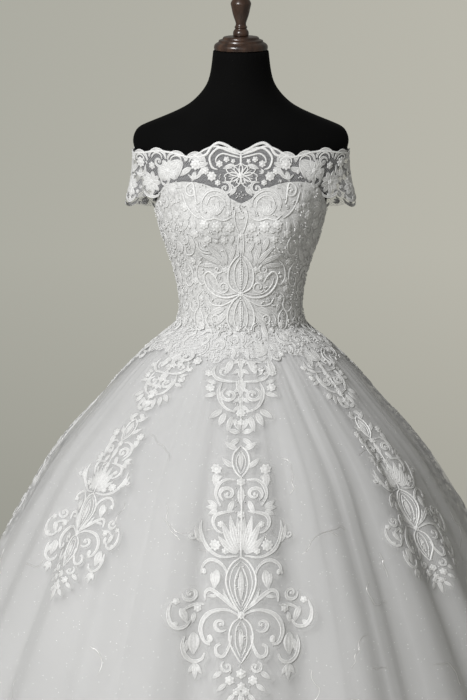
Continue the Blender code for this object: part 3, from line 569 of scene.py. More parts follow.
# Bodice: seven boned panels of satin over the form, to a sweetheart edge. Above it a band of net goes
# on round the shoulders as the yoke and the short sleeves, in one with the lace sewn on it.
BODY_FOOT, BODY_TOP, BODY_STEP = 1.066, 1.432, 0.002
BODY_ROWS = np.arange(BODY_FOOT, BODY_TOP, BODY_STEP)
OVER_THE_FORM = 0.0042
PANELS = [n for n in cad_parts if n.startswith("bodice_")]
YOKES = [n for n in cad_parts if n.startswith("lace_yoke_")]
SLEEVES = [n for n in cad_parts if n.startswith("sleeve_")]


def edge_heights(grid, rows, top):
    """The height of a piece's edge at each degree, rounded off."""
    columns = np.arange(360)
    solid = columns[(~np.isnan(grid)).sum(axis=0) > 3]
    ends = [rows[np.nonzero(~np.isnan(grid[:, i]))[0][-1 if top else 0]] for i in solid]
    edge = np.interp(columns, solid, ends, period=360)
    return blurred(edge[None, :].repeat(3, axis=0), 1.2, 0.5)[1]


panel_radii = radii_of(faces_of(*PANELS), BODY_ROWS)
bodice_edge = edge_heights(panel_radii, BODY_ROWS, True)
yoke_radii = radii_of(faces_of(*YOKES), BODY_ROWS)
torso_radii = radii_of(faces_of("form_torso"), BODY_ROWS)
body_radii = np.where(np.isnan(panel_radii), yoke_radii, panel_radii)
body_radii = np.where(np.isnan(body_radii), torso_radii + OVER_THE_FORM, body_radii)
body_radii[:, np.isnan(panel_radii).all(axis=0)] = np.nan
body_cloth = Cloth(BODY_ROWS, blurred(filled(body_radii), 2.6, 5.0))
band_radii = radii_of(faces_of(*YOKES, *SLEEVES), BODY_ROWS)
band_top = edge_heights(band_radii, BODY_ROWS, True)
band_bottom = edge_heights(band_radii, BODY_ROWS, False)
band_cloth = Cloth(BODY_ROWS, blurred(filled(band_radii), 1.8, 3.0))

# Half the zip's width, in degrees
HALF_ZIP = 1.05
open_turn = np.arange(-180 + HALF_ZIP, 180 - HALF_ZIP + 0.01, 0.5)
degrees_round = np.arange(-180, 180)


def edge_at(edge, angles):
    """An edge's height at some angles."""
    return np.interp(angles, degrees_round, edge, period=360)


bodice_top = edge_at(bodice_edge, open_turn)
bodice_mesh = sheet_mesh(
    "bodice_panels", body_cloth, open_turn, np.full(len(open_turn), WAIST + 0.0002), bodice_top, 52, False
)
lace_ground, ground_shader, ground_tree = plain_finish("laced_satin", (0.70, 0.70, 0.69), 0.7, sheen=0.15)
ground_tree.links.new(
    two_colours(ground_tree, object_noise(ground_tree, 230, 3.0, 0.65), (0.56, 0.56, 0.555),
        (0.80, 0.80, 0.795), 0.36, 0.60),
    ground_shader.inputs["Base Color"],
)
bump_from(ground_tree, ground_shader, object_noise(ground_tree, 260, 3.0, 0.6), 0.0012, 0.6)
bodice_piece = add_piece("bodice_panels", bodice_mesh, lace_ground)
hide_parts(*PANELS)


def net_finish(name, colour, alpha):
    """Fine net: threads in three directions over open cells, with a soft white cover between."""
    made, shader, tree = plain_finish(name, colour, 0.8, sheen=0.3)
    place = tree.nodes.new("ShaderNodeUVMap")
    place.uv_map = "cloth"
    threads = []
    for slant in (30, -30, 90):
        turned_place = tree.nodes.new("ShaderNodeMapping")
        turned_place.inputs["Rotation"].default_value = (0, 0, math.radians(slant))
        wave = tree.nodes.new("ShaderNodeTexWave")
        wave.inputs["Scale"].default_value = 1.0
        tree.links.new(place.outputs["UV"], turned_place.inputs["Vector"])
        tree.links.new(turned_place.outputs["Vector"], wave.inputs["Vector"])
        threads.append(wave.outputs["Fac"])
    every = combined(tree, "MAXIMUM", combined(tree, "MAXIMUM", threads[0], threads[1]), threads[2])
    cover = ranged(tree, every, alpha * 0.45, min(1.0, alpha * 1.9), 0.80, 0.98)
    tree.links.new(cover, shader.inputs["Alpha"])
    return made


def give_cloth_map(mesh, cell):
    """A map in cells of the net, measured along the cloth round and up."""
    layer = mesh.uv_layers.new(name="cloth")
    places = np.array([v.co[:] for v in mesh.vertices])
    turn = np.arctan2(places[:, 0], -places[:, 1])
    radius = np.hypot(places[:, 0], places[:, 1])
    flat = np.stack((turn * np.median(radius), places[:, 2]), -1) / cell
    for loop in mesh.loops:
        layer.data[loop.index].uv = flat[loop.vertex_index]


NET_CELL = 0.0075
SEAM_LAP = 0.0025
net = net_finish("yoke_net", (0.82, 0.82, 0.84), 0.25)
band_angles = np.arange(-180 + HALF_ZIP, 180 - HALF_ZIP + 0.01, 0.4)
band_mesh = sheet_mesh(
    "lace_band_net", band_cloth, band_angles,
    edge_at(band_bottom, band_angles) - SEAM_LAP, edge_at(band_top, band_angles), 16, False
)
give_cloth_map(band_mesh, NET_CELL)
band_piece = add_piece("lace_band_net", band_mesh, net)
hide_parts(*YOKES, *SLEEVES)


# Lace: corded embroidery on net. Every stroke is raised thread with its own width and height: cords,
# satin-stitched leaves with a rim and a vein, curls that end in a button, and small rosettes. Strokes
# are drawn flat, across and along the cloth, and laid on it with their height along its normal.
def along_curve(places, step):
    """Points at even steps on a smooth curve through some places."""
    knots = np.asarray(places, float)
    wide = np.vstack((2 * knots[0] - knots[1], knots, 2 * knots[-1] - knots[-2]))
    share = np.linspace(0, 1, 9)[:-1, None]
    pieces = []
    for a, b, c, d in zip(wide[:-3], wide[1:-2], wide[2:-1], wide[3:]):
        pieces.append(
            0.5 * (2 * b + (c - a) * share + (2 * a - 5 * b + 4 * c - d) * share**2 + (3 * b - a - 3 * c + d) * share**3)
        )
    fine = np.vstack((*pieces, knots[-1:]))
    reach = np.concatenate(([0], np.cumsum(np.linalg.norm(np.diff(fine, axis=0), axis=1))))
    at = np.linspace(0, reach[-1], max(3, int(round(reach[-1] / step)) + 1))
    return np.stack((np.interp(at, reach, fine[:, 0]), np.interp(at, reach, fine[:, 1])), -1)


def grid_faces(rows, columns, closed=False):
    """The quads of a grid of points, row after row."""
    across = columns if closed else columns - 1
    return [
        (j * columns + i, j * columns + (i + 1) % columns, (j + 1) * columns + (i + 1) % columns,
            (j + 1) * columns + i)
        for j in range(rows - 1)
        for i in range(across)
    ]


MM = 0.001
CORD_ACROSS = np.array((-1.0, -0.6, 0.0, 0.6, 1.0))
CORD_HEIGHT = np.array((0.0, 0.8, 1.0, 0.8, 0.0))
BAND_ACROSS = np.array((-1.0, -0.78, -0.45, 0.0, 0.45, 0.78, 1.0))
BAND_HEIGHT = np.array((0.0, 1.0, 0.40, 0.30, 0.40, 1.0, 0.0))
LEAF_ACROSS = np.array((-1.0, -0.8, -0.5, -0.16, 0.0, 0.16, 0.5, 0.8, 1.0))
LEAF_HEIGHT = np.array((0.0, 1.0, 0.35, 0.40, 0.85, 0.40, 0.35, 1.0, 0.0))


def cord(places, width=0.0030, height=0.0011, ends=(0.45, 0.45), step=0.0026):
    """A raised cord along a curve, thinner at its ends."""
    line = along_curve(places, step)
    ahead = np.gradient(line, axis=0)
    ahead /= np.linalg.norm(ahead, axis=1, keepdims=True) + 1e-12
    share = np.linspace(0, 1, len(line))
    full = np.minimum(1, np.minimum(ends[0] + share / 0.2, ends[1] + (1 - share) / 0.2))
    side = np.stack((-ahead[:, 1], ahead[:, 0]), -1) * (full * width / 2)[:, None]
    flat = line[:, None, :] + side[:, None, :] * CORD_ACROSS[None, :, None]
    lift = np.repeat((height * np.sqrt(full))[:, None], 5, axis=1) * CORD_HEIGHT[None, :]
    return np.concatenate((flat, lift[..., None]), -1).reshape(-1, 3), grid_faces(len(line), 5)


def band(places, widths, height=0.0014, step=0.0030):
    """A scroll worked as two corded rims with a sunk filling, as wide along its way as the widths."""
    line = along_curve(places, step)
    ahead = np.gradient(line, axis=0)
    ahead /= np.linalg.norm(ahead, axis=1, keepdims=True) + 1e-12
    wide = np.interp(np.linspace(0, len(widths) - 1, len(line)), np.arange(len(widths)), widths) * MM
    side = np.stack((-ahead[:, 1], ahead[:, 0]), -1) * (wide / 2)[:, None]
    flat = line[:, None, :] + side[:, None, :] * BAND_ACROSS[None, :, None]
    lift = np.repeat((height * np.clip(wide / 0.004, 0.4, 1))[:, None], 7, axis=1) * BAND_HEIGHT[None, :]
    return np.concatenate((flat, lift[..., None]), -1).reshape(-1, 3), grid_faces(len(line), 7)


def leaf(u, v, turn, length, width, bend=0.0, height=0.0013, broad=0.8):
    """A satin-stitched leaf from its foot, pointing at an angle from straight down, bent to a side."""
    share = np.linspace(0, 1, 8)
    half = width / 2 * np.sin(np.pi * np.clip(share, 0.02, 0.98) ** broad) ** (0.6 / broad)
    middle = np.stack((bend * length * share**2, length * share), -1)
    flat = np.stack((middle[:, :1] + half[:, None] * LEAF_ACROSS, middle[:, 1:] + 0 * LEAF_ACROSS[None, :]), -1)
    angle = math.radians(turn)
    spun = np.stack(
        (
            flat[..., 0] * math.cos(angle) + flat[..., 1] * math.sin(angle),
            -flat[..., 0] * math.sin(angle) + flat[..., 1] * math.cos(angle),
        ),
        -1,
    )
    lift = height * LEAF_HEIGHT[None, :] * (np.clip(half / half.max(), 0.25, 1)[:, None])
    return np.concatenate((spun + (u, v), lift[..., None]), -1).reshape(-1, 3), grid_faces(8, 9)


def rosette(u, v, radius, petals=6, height=0.0016, turn=0.0):
    """A small flower worked in thread: petals with a dip between them and a raised eye."""
    columns = petals * 4
    round_it = np.arange(columns) * 2 * math.pi / columns
    petal = 0.5 + 0.5 * np.cos(petals * round_it + turn)
    rings = ((0.02, 0.9, 0.0), (0.24, 1.0, 0.0), (0.40, 0.30, 0.0), (0.74, 0.75, 0.3), (0.92, 0.65, 0.4),
        (1.0, 0.0, 0.0))
    points = []
    for reach, rise, dip in rings:
        out = radius * reach * (1 - 0.24 * (1 - petal) * min(1, reach * 1.3))
        lift = height * (rise - dip * (1 - petal))
        points.append(np.stack((u + out * np.sin(round_it), v + out * np.cos(round_it), lift + 0 * out), -1))
    return np.concatenate(points), grid_faces(len(rings), columns, True)


def button(u, v, radius, height=0.0017):
    """A round knob of thread at the end of a curl."""
    return rosette(u, v, radius, 2, height)


def curl_line(u, v, radius, start, turns, hand):
    """Places on a spiral round a point, from outside in."""
    steps = max(5, int(abs(turns) * 9))
    share = np.linspace(0, 1, steps)
    angle = np.radians(start) + hand * 2 * math.pi * turns * share
    reach = radius * (1 - 0.72 * share)
    return list(zip(u + reach * np.sin(angle), v + reach * np.cos(angle)))


def curl(u, v, radius, start, turns=1.1, hand=1, width=0.0030, lead=()):
    """A spiral cord with a button at its eye, led into from elsewhere."""
    line = list(lead) + curl_line(u, v, radius, start, turns, hand)
    return [cord(line, width), button(u, v, max(0.0022, radius * 0.26))]


def comma(u, v, radius, start, turns=0.9, hand=1, lead=()):
    """A thick spiral band that narrows to the button at its eye."""
    line = list(lead) + curl_line(u, v, radius, start, turns, hand)
    thick = radius / MM * 0.55
    return [band(line, (0.3 * thick, thick, 0.8 * thick, 0.4 * thick)),
        button(u, v, max(0.0022, radius * 0.25))]


def bead(u, v, radius):
    """A small domed bead."""
    round_it = np.arange(6) * math.pi / 3
    rings = ((1.0, 0.3), (0.85, 1.0), (0.35, 1.55), (0.03, 1.62))
    points = [
        np.stack((u + radius * r * np.sin(round_it), v + radius * r * np.cos(round_it),
            radius * h + 0 * round_it), -1)
        for r, h in rings
    ]
    return np.concatenate(points), grid_faces(4, 6, True)


def mirrored(strokes):
    """The strokes and their mirror images over the centre line."""
    made = list(strokes)
    for points, faces in strokes:
        other = points * np.array((-1, 1, 1))
        made.append((other, [f[::-1] for f in faces]))
    return made


def flat_list(strokes):
    """One list from strokes and lists of strokes."""
    made = []
    for s in strokes:
        if isinstance(s, list):
            made += flat_list(s)
        else:
            made.append(s)
    return made


class SkirtChart:
    """Flat places on the skirt: across from a centre line, and down the cloth from the waist seam."""

    def __init__(self, centre, across=1.0, along=1.0, start=0.0):
        self.centre, self.across, self.along, self.start = centre, across, along, start
        self.cloth = tulle_cloth
        smooth = blurred(tulle_radii, 9.0, 2.0)[:, int(round(centre + 180)) % 360]
        self.rows, self.radii = SKIRT_ROWS[::-1], smooth[::-1]
        steps = np.hypot(np.diff(self.rows), np.diff(self.radii))
        self.down = np.concatenate(([0], np.cumsum(steps)))

    def spots(self, u, v):
        down = np.where(v > self.start, self.start + (v - self.start) * self.along, v)
        heights = np.interp(down, self.down, self.rows)
        radii = np.interp(down, self.down, self.radii)
        return self.centre + np.degrees(u * self.across / radii), heights


CHART_TOP = 1.40


class BodyChart:
    """Flat places on the body: across from the centre front or back, and down from a height."""

    def __init__(self, cloth, behind=False, top=CHART_TOP):
        self.cloth, self.behind, self.top = cloth, behind, top

    def spots(self, u, v):
        heights = self.top - v
        if not self.behind:
            return self.cloth.angles_at(u, heights), heights
        rows = np.interp(heights, self.cloth.heights, np.arange(len(self.cloth.heights)))
        half = self.cloth.arcs[np.round(rows).astype(int), 360]
        angles = self.cloth.angles_at(np.sign(u) * -(half - np.abs(u)), heights)
        return angles, heights


FULL_RISE = 0.0013


def lay(name, strokes, chart, finish, base=0.0007):
    """All the strokes of one lace as a piece on the cloth."""
    points, faces, first = [], [], 0
    for p, f in strokes:
        points.append(p)
        faces += [tuple(first + i for i in q) for q in f]
        first += len(p)
    flat = np.concatenate(points)
    angles, heights = chart.spots(flat[:, 0], flat[:, 1])
    laid = chart.cloth.points(angles, heights) + (flat[:, 2:] + base) * chart.cloth.normals(angles, heights)
    mesh = bpy.data.meshes.new(name)
    mesh.from_pydata(laid.tolist(), [], faces)
    mesh.update()
    # The height share of each point, which the thread finishes turn into painted shade on the low parts.
    rise = mesh.attributes.new("rise", "FLOAT", "POINT")
    rise.data.foreach_set("value", np.clip(flat[:, 2] / FULL_RISE, 0, 1).astype(np.float32))
    return add_piece(name, mesh, finish)


def thread_finish(name, colour, sheen, painted_low_shade):
    """Viscose embroidery thread: white with a silky sheen, the stitches in its bump, and painted shade that
    darkens its lower parts.
    """
    made, shader, tree = plain_finish(name, colour, 0.42, sheen=sheen)
    shader.inputs["Specular IOR Level"].default_value = 0.45
    bump_from(tree, shader, object_noise(tree, 700, 2.0, 0.6), 0.0004, 0.5)
    # Painted shade: the lower a part of the thread lies, the darker its colour, down to the given share of it.
    height = tree.nodes.new("ShaderNodeAttribute")
    height.attribute_name = "rise"
    worked = two_colours(tree, height.outputs["Fac"], tuple(painted_low_shade * c for c in colour), colour, 0.05, 0.85)
    stitches = two_colours(tree, object_noise(tree, 380, 1.0, 0.5), (0.84, 0.84, 0.84), (1, 1, 1), 0.36, 0.58)
    tree.links.new(mixed(tree, "MULTIPLY", 1.0, worked, stitches), shader.inputs["Base Color"])
    return made


# Its low parts are painted darker, as shade, down to 0.70 of the colour.
embroidery = thread_finish("embroidery_thread", (0.96, 0.96, 0.955), 0.4, 0.70)


def in_metres(*places):
    """Places drawn in millimetres."""
    return [(u * MM, v * MM) for u, v in places]


def motif_strokes(seed):
    """One hanging motif, drawn down from under the waist lace: curves in millimetres, the rest in metres."""
    dice = random.Random(seed)
    half = [
        # the crossing's big arms, the curls inside them and the almond below
        band(in_metres((3, 576), (26, 566), (50, 570), (67, 585), (73, 606), (66, 625), (54, 629)),
            (3, 6, 9, 9, 6)),
        button(0.055, 0.619, 0.0075), comma(0.036, 0.593, 0.0135, -50, 1.0, 1),
        cord(in_metres((2, 580), (14, 590), (20, 606), (20, 624), (11, 644), (0, 662)), 0.0040, 0.0016),
        cord(in_metres((1, 586), (8, 598), (10, 612), (9, 630), (1, 652)), 0.0028),
        band(in_metres((17, 612), (22, 634), (32, 650), (43, 646), (44, 633), (36, 627)), (3, 6, 7, 5)),
        # the arms above it
        band(in_metres((3, 571), (20, 556), (38, 540), (54, 531), (64, 538), (65, 553)), (3, 7, 9, 7, 3)),
        leaf(0.042, 0.541, 80, 0.020, 0.007), band(in_metres((14, 560), (26, 545), (32, 528)), (3, 6, 2)),
        band(in_metres((24, 512), (28, 492), (40, 479), (55, 477), (68, 487), (73, 504)), (2, 5, 7, 6, 3)),
        button(0.067, 0.499, 0.0060), leaf(0.042, 0.494, 10, 0.036, 0.017),
        leaf(0.052, 0.500, -12, 0.028, 0.012),
        cord(in_metres((0, 470), (15, 482), (25, 502), (25, 524), (15, 550), (2, 572)), 0.0044, 0.0018),
        cord(in_metres((1, 478), (13, 490), (19, 508), (19, 526), (11, 550), (1, 566)), 0.0026),
        cord(in_metres((1, 486), (7, 500), (11, 516), (9, 540), (1, 560)), 0.0032),
        # outer sprays
        comma(0.090, 0.540, 0.0135, 100, 1.2, -1), rosette(0.113, 0.552, 0.0070, 5),
        rosette(0.078, 0.566, 0.0080, 6),
        band(in_metres((120, 552), (126, 570), (124, 588), (114, 600), (100, 599), (90, 587)), (2, 6, 8, 7, 3)),
        leaf(0.106, 0.564, -20, 0.030, 0.013), band(in_metres((66, 559), (84, 560), (100, 567), (106, 580)),
            (3, 6, 5, 2)),
        leaf(0.110, 0.590, 60, 0.016, 0.009), leaf(0.084, 0.574, 10, 0.020, 0.009),
        # hanging drops
        band(in_metres((101, 616), (104, 634), (98, 654), (84, 663), (70, 657), (65, 646)), (3, 7, 8, 7, 3)),
        leaf(0.086, 0.610, -6, 0.040, 0.022, 0.1), leaf(0.094, 0.622, 14, 0.026, 0.010),
        leaf(0.083, 0.664, 0, 0.030, 0.011), leaf(0.083, 0.666, 34, 0.022, 0.009),
        leaf(0.083, 0.666, -34, 0.022, 0.009),
        # the tip
        comma(0.025, 0.668, 0.0115, 160, 1.1, -1), rosette(0.020, 0.692, 0.0095, 6),
        rosette(0.008, 0.712, 0.0080, 6),
        leaf(0.034, 0.676, 50, 0.022, 0.010), leaf(0.026, 0.698, 50, 0.022, 0.009),
        leaf(0.012, 0.716, 40, 0.022, 0.009),
        # the fan and its hooks
        band(in_metres((6, 468), (34, 470), (56, 460), (68, 442), (73, 420), (71, 404)), (3, 5, 8, 7, 2)),
        leaf(0.070, 0.446, 150, 0.034, 0.012, 0.2), comma(0.086, 0.431, 0.0085, 200, 1.1, 1),
        rosette(0.046, 0.449, 0.0115, 8), rosette(0.028, 0.459, 0.0070, 6),
        leaf(0.006, 0.462, 146, 0.064, 0.015, 0.15), leaf(0.004, 0.458, 162, 0.066, 0.014, 0.08),
        leaf(0.008, 0.464, 126, 0.046, 0.013, 0.15), leaf(0.001, 0.456, 174, 0.060, 0.011, 0.02),
        # the curls over the fan
        comma(0.024, 0.353, 0.0150, 30, 1.2, 1), band(in_metres((10, 326), (26, 325), (40, 336), (45, 356),
            (36, 376)), (3, 6, 8, 6, 3)),
        leaf(0.042, 0.380, 90, 0.022, 0.010), leaf(0.042, 0.378, 120, 0.022, 0.010),
        leaf(0.042, 0.384, 60, 0.020, 0.009),
        band(in_metres((12, 386), (30, 388), (45, 394), (50, 408), (42, 422), (32, 426)), (3, 6, 8, 6, 3)),
        rosette(0.036, 0.410, 0.0065, 6), leaf(0.014, 0.366, 20, 0.026, 0.011),
        # the almond and its side flowers
        cord(in_metres((0, 255), (12, 270), (15, 290), (10, 308), (0, 322)), 0.0042, 0.0016),
        cord(in_metres((0, 266), (7, 280), (8, 294), (4, 308), (0, 314)), 0.0026),
        rosette(0.044, 0.304, 0.0115, 7), leaf(0.044, 0.312, 4, 0.028, 0.015),
        leaf(0.034, 0.318, 60, 0.022, 0.009),
        leaf(0.014, 0.300, 130, 0.028, 0.011, 0.1), leaf(0.006, 0.262, 115, 0.028, 0.012, 0.2),
        leaf(0.003, 0.240, 60, 0.026, 0.012, -0.2), leaf(0.002, 0.226, 100, 0.024, 0.011, 0.2),
        # the scrolls under the waist
        comma(0.021, 0.143, 0.0155, 160, 1.2, -1), band(in_metres((34, 116), (40, 134), (38, 154), (28, 172),
            (10, 182)), (2, 7, 8, 6, 3)),
        band(in_metres((44, 78), (50, 92), (44, 106), (28, 113), (6, 114)), (2, 7, 8, 5, 3)),
        comma(0.028, 0.092, 0.0105, 0, 1.1, 1), rosette(0.055, 0.128, 0.0095, 7),
        leaf(0.044, 0.118, 110, 0.020, 0.009),
        leaf(0.034, 0.176, 50, 0.030, 0.013), leaf(0.028, 0.184, 24, 0.030, 0.013),
        leaf(0.016, 0.190, 14, 0.034, 0.012),
        leaf(0.044, 0.140, 70, 0.024, 0.010), leaf(0.016, 0.066, 20, 0.034, 0.014),
        rosette(0.058, 0.096, 0.0080, 6),
        leaf(0.006, 0.112, -10, 0.030, 0.011), leaf(0.012, 0.196, -20, 0.028, 0.010),
    ]
    middle = [
        [leaf(0, v * MM, 0, 0.026, 0.011) for v in (62, 84, 104, 122, 142, 162)],
        [leaf(0.001 * side, v * MM, side * 52, 0.018, 0.008) for side in (-1, 1) for v in (64, 86, 128, 150,
            168)],
        cord(in_metres((0, 56), (1, 110), (-1, 170), (0, 224)), 0.0024),
        cord(in_metres((0, 322), (1, 380), (0, 440), (0, 474)), 0.0040),
        rosette(0, 0.680, 0.0100, 6), rosette(0, 0.702, 0.0080, 6), leaf(0, 0.712, 0, 0.036, 0.012),
        rosette(0, 0.184, 0.0100, 8, 0.0024), rosette(0, 0.204, 0.0075, 6, 0.0022),
        rosette(0, 0.576, 0.0080, 8, 0.0026),
        leaf(0, 0.496, 0, 0.054, 0.011), leaf(0, 0.600, 0, 0.040, 0.009), leaf(0, 0.270, 0, 0.036, 0.010),
        rosette(0, 0.330, 0.0090, 6), leaf(0, 0.340, 0, 0.036, 0.014), rosette(0, 0.392, 0.0080, 6),
        leaf(0, 0.400, 0, 0.050, 0.013),
    ]
    strokes = mirrored(flat_list(half)) + flat_list(middle)
    sequins = ((0.484, 0.566, 0.010), (0.590, 0.650, 0.008), (0.335, 0.460, 0.012), (0.10, 0.21, 0.012),
        (0.66, 0.73, 0.02))
    for low, high, wide in sequins:
        strokes += [bead(dice.uniform(-wide, wide), dice.uniform(low, high), 0.0015) for _ in range(14)]
    return strokes


UNDER_WAIST_LACE = 0.086
SKIRT_MOTIFS = (
    # node, degrees round, across, along, seed
    ("applique_front", 0, 1.0, 1.0, 11),
    ("applique_front_left", -46, 0.74, 0.74, 12),
    ("applique_front_right", 53, 0.71, 0.74, 13),
    ("applique_side_left", -101, 0.73, 0.74, 14),
    ("applique_side_right", 105, 0.72, 0.74, 15),
    ("applique_back_left", -153, 0.74, 0.74, 16),
    ("applique_back_right", 155, 0.73, 0.74, 17),
)


PATCH_EDGE, PATCH_LIFT = 0.10, 0.0006


def net_patch(name, strokes, chart, finish, reach=0.0040, cell=0.0045):
    """The net that the strokes are worked on, cut round them: the part of the chart near any stroke."""
    marks = np.concatenate([p[:, :2] for p, _ in strokes])
    corner = marks.min(axis=0) - 3 * reach
    size = np.ceil((marks.max(axis=0) + 3 * reach - corner) / cell).astype(int) + 1
    near = np.zeros(size)
    spot = np.round((marks - corner) / cell).astype(int)
    near[spot[:, 0], spot[:, 1]] = 1.0
    weights = bell(reach / cell)[0]
    for axis in (0, 1):
        near = np.apply_along_axis(lambda line: np.convolve(line, weights, "same"), axis, near)
    level = near - PATCH_EDGE
    points, faces, known = [], [], {}

    def point_between(a, b):
        key = (min(a, b), max(a, b))
        if key not in known:
            share = 0.0 if a == b else level[a] / (level[a] - level[b])
            points.append(corner + cell * (np.array(a) + share * (np.array(b) - np.array(a))))
            known[key] = len(points) - 1
        return known[key]

    for i in range(size[0] - 1):
        for j in range(size[1] - 1):
            ring = [(i, j), (i, j + 1), (i + 1, j + 1), (i + 1, j)]
            face = []
            for a, b in zip(ring, ring[1:] + ring[:1]):
                if level[a] > 0:
                    face.append(point_between(a, a))
                if (level[a] > 0) != (level[b] > 0):
                    face.append(point_between(a, b) if level[a] > 0 else point_between(b, a))
            if len(face) > 2:
                faces.append(face[::-1])
    flat = np.array(points)
    angles, heights = chart.spots(flat[:, 0], flat[:, 1])
    laid = chart.cloth.points(angles, heights) + PATCH_LIFT * chart.cloth.normals(angles, heights)
    mesh = bpy.data.meshes.new(name)
    mesh.from_pydata(laid.tolist(), [], faces)
    mesh.update()
    give_cloth_map(mesh, NET_CELL)
    return add_piece(name, mesh, finish), flat.max(axis=0) - flat.min(axis=0)


motif_net = net_finish("motif_net", (0.84, 0.84, 0.84), 0.26)
for node, centre, across, along, seed in SKIRT_MOTIFS:
    strokes, chart = motif_strokes(seed), SkirtChart(centre, across, along, UNDER_WAIST_LACE)
    patch, spread = net_patch(node + "_net", strokes, chart, motif_net)
    motif_piece = lay(node + "_lace", strokes, chart, embroidery)
    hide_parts(node)


# Glitter filaments: fine silver threads caught in the outer tulle, each on a wandering way of its own.
FILAMENTS = 120
filament_chart, filament_dice, filaments = SkirtChart(0), random.Random(71), []
for k in range(FILAMENTS):
    down = filament_dice.uniform(0.20, 1.15)
    round_it = math.radians(-180 + 360 * (k + filament_dice.random()) / FILAMENTS)
    way = [(round_it * np.interp(down, filament_chart.down, filament_chart.radii), down)]
    heading = filament_dice.uniform(0, 2 * math.pi)
    for _ in range(filament_dice.randint(3, 9)):
        heading += filament_dice.uniform(-0.9, 0.9)
        way.append((way[-1][0] + 0.012 * math.cos(heading), way[-1][1] + 0.012 * math.sin(heading)))
    filaments.append(cord(way, 0.0007, 0.0003, (0.7, 0.7), 0.004))
silver, silver_shader, silver_tree = plain_finish("glitter_filament", (0.86, 0.85, 0.83), 0.32, 0.7)
bump_from(silver_tree, silver_shader, object_noise(silver_tree, 800, 2.0), 0.0001, 0.4)
lay("glitter_filaments", filaments, filament_chart, silver, 0.0003)


# Bodice lace: the same embroidery laid close all over the panels. The middle figure is drawn,
# mirrored over the centre front, and the rest is filled with scattered sprigs that keep clear of it.
def figure_strokes():
    """The figure of the centre front: two almonds, a crossing, scrolls and palm fronds."""
    half = [
        cord(in_metres((0, 258), (17, 248), (23, 232), (21, 210), (12, 194), (3, 186)), 0.0038, 0.0015),
        cord(in_metres((0, 256), (8, 244), (12, 226), (10, 206), (2, 192)), 0.0028),
        cord(in_metres((4, 186), (5, 168), (4, 146)), 0.0030),
        cord(in_metres((0, 259), (14, 272), (23, 290), (24, 310), (16, 326), (6, 330)), 0.0038, 0.0015),
        cord(in_metres((0, 264), (8, 280), (12, 296), (11, 314), (3, 326)), 0.0028),
        cord(in_metres((0, 258), (25, 266), (49, 261), (65, 245), (69, 227), (60, 218), (49, 226), (42, 238)),
            0.0040, 0.0016),
        cord(in_metres((8, 257), (28, 260), (46, 255), (58, 242), (61, 230)), 0.0026),
        curl(0.032, 0.246, 0.0115, 60, 1.3, -1, 0.0034), leaf(0.050, 0.232, 200, 0.020, 0.009),
        cord(in_metres((0, 260), (19, 273), (36, 281), (54, 279), (62, 268)), 0.0032, 0.0013),
        leaf(0.030, 0.284, 60, 0.034, 0.013, 0.1), leaf(0.026, 0.292, 40, 0.034, 0.012),
        cord(in_metres((26, 322), (38, 332), (56, 326), (66, 310), (60, 296)), 0.0034),
        curl(0.046, 0.306, 0.010, 0, 1.2, 1, 0.0030),
        curl(0.042, 0.213, 0.010, 200, 1.1, 1, 0.0034), rosette(0.027, 0.214, 0.007, 6),
        leaf(0.026, 0.204, 172, 0.044, 0.0100, -0.15), leaf(0.030, 0.204, 150, 0.048, 0.0100, -0.2),
        leaf(0.036, 0.204, 128, 0.046, 0.0100, -0.25), leaf(0.042, 0.208, 106, 0.040, 0.0095, -0.3),
        leaf(0.020, 0.200, 192, 0.036, 0.0090, 0.1), leaf(0.012, 0.182, 150, 0.026, 0.0085),
        cord(in_metres((3, 146), (9, 130), (12, 114), (10, 102)), 0.0026, 0.0012),
        rosette(0.020, 0.134, 0.0095, 7), rosette(0.043, 0.132, 0.0110, 8), rosette(0.067, 0.128, 0.0095, 7),
        rosette(0.086, 0.146, 0.0090, 6), rosette(0.030, 0.158, 0.0070, 6), rosette(0.060, 0.156, 0.0080, 6),
        band(in_metres((20, 96), (22, 82), (34, 70), (50, 66), (64, 73), (72, 88), (70, 104)),
            (2, 4, 6, 7, 6, 4, 2)),
        cord(in_metres((28, 98), (30, 86), (42, 77), (56, 80), (62, 94)), 0.0028, 0.0012),
        [leaf(0.046, 0.112, t, 0.027, 0.0095, 0.1) for t in (128, 158, 186, 214)],
        cord(in_metres((18, 116), (32, 121), (48, 117), (62, 120), (74, 112)), 0.0034, 0.0013),
        curl(0.092, 0.070, 0.0130, 200, 1.3, -1, 0.0038, in_metres((74, 88), (82, 90))),
        cord(in_metres((76, 118), (92, 108), (104, 92), (110, 72)), 0.0036), rosette(0.108, 0.100, 0.0085, 6),
        leaf(0.094, 0.112, 60, 0.026, 0.011), leaf(0.100, 0.120, 30, 0.028, 0.011),
        leaf(0.086, 0.122, 10, 0.022, 0.010),
        cord(in_metres((70, 196), (82, 210), (85, 230), (76, 244), (68, 238), (71, 229)), 0.0034),
        cord(in_metres((94, 152), (86, 168), (91, 185), (104, 188), (108, 176), (101, 171)), 0.0030),
        cord(in_metres((104, 204), (94, 220), (95, 242), (107, 250), (113, 238), (107, 231)), 0.0032),
        cord(in_metres((74, 256), (84, 268), (82, 284), (92, 296), (103, 290), (102, 280)), 0.0032),
        cord(in_metres((82, 290), (74, 300), (72, 316), (80, 328), (90, 320), (92, 302), (84, 290)), 0.0032),
        rosette(0.076, 0.270, 0.0065, 6), rosette(0.088, 0.238, 0.0075, 6), rosette(0.092, 0.200, 0.0080, 7),
    ]
    middle = [leaf(0, 0.200, 0, 0.050, 0.0100), leaf(0, 0.270, 0, 0.052, 0.0100),
        rosette(0, 0.258, 0.0060, 6, 0.0022)]
    middle += [rosette(0, 0.150, 0.0065, 6), leaf(0, 0.160, 0, 0.026, 0.008)]
    beads = [bead(0, (188 + 4.6 * k) * MM, 0.0015) for k in range(32)]
    return mirrored(flat_list(half)) + flat_list(middle) + beads


SPRIG_CELL = 0.0018


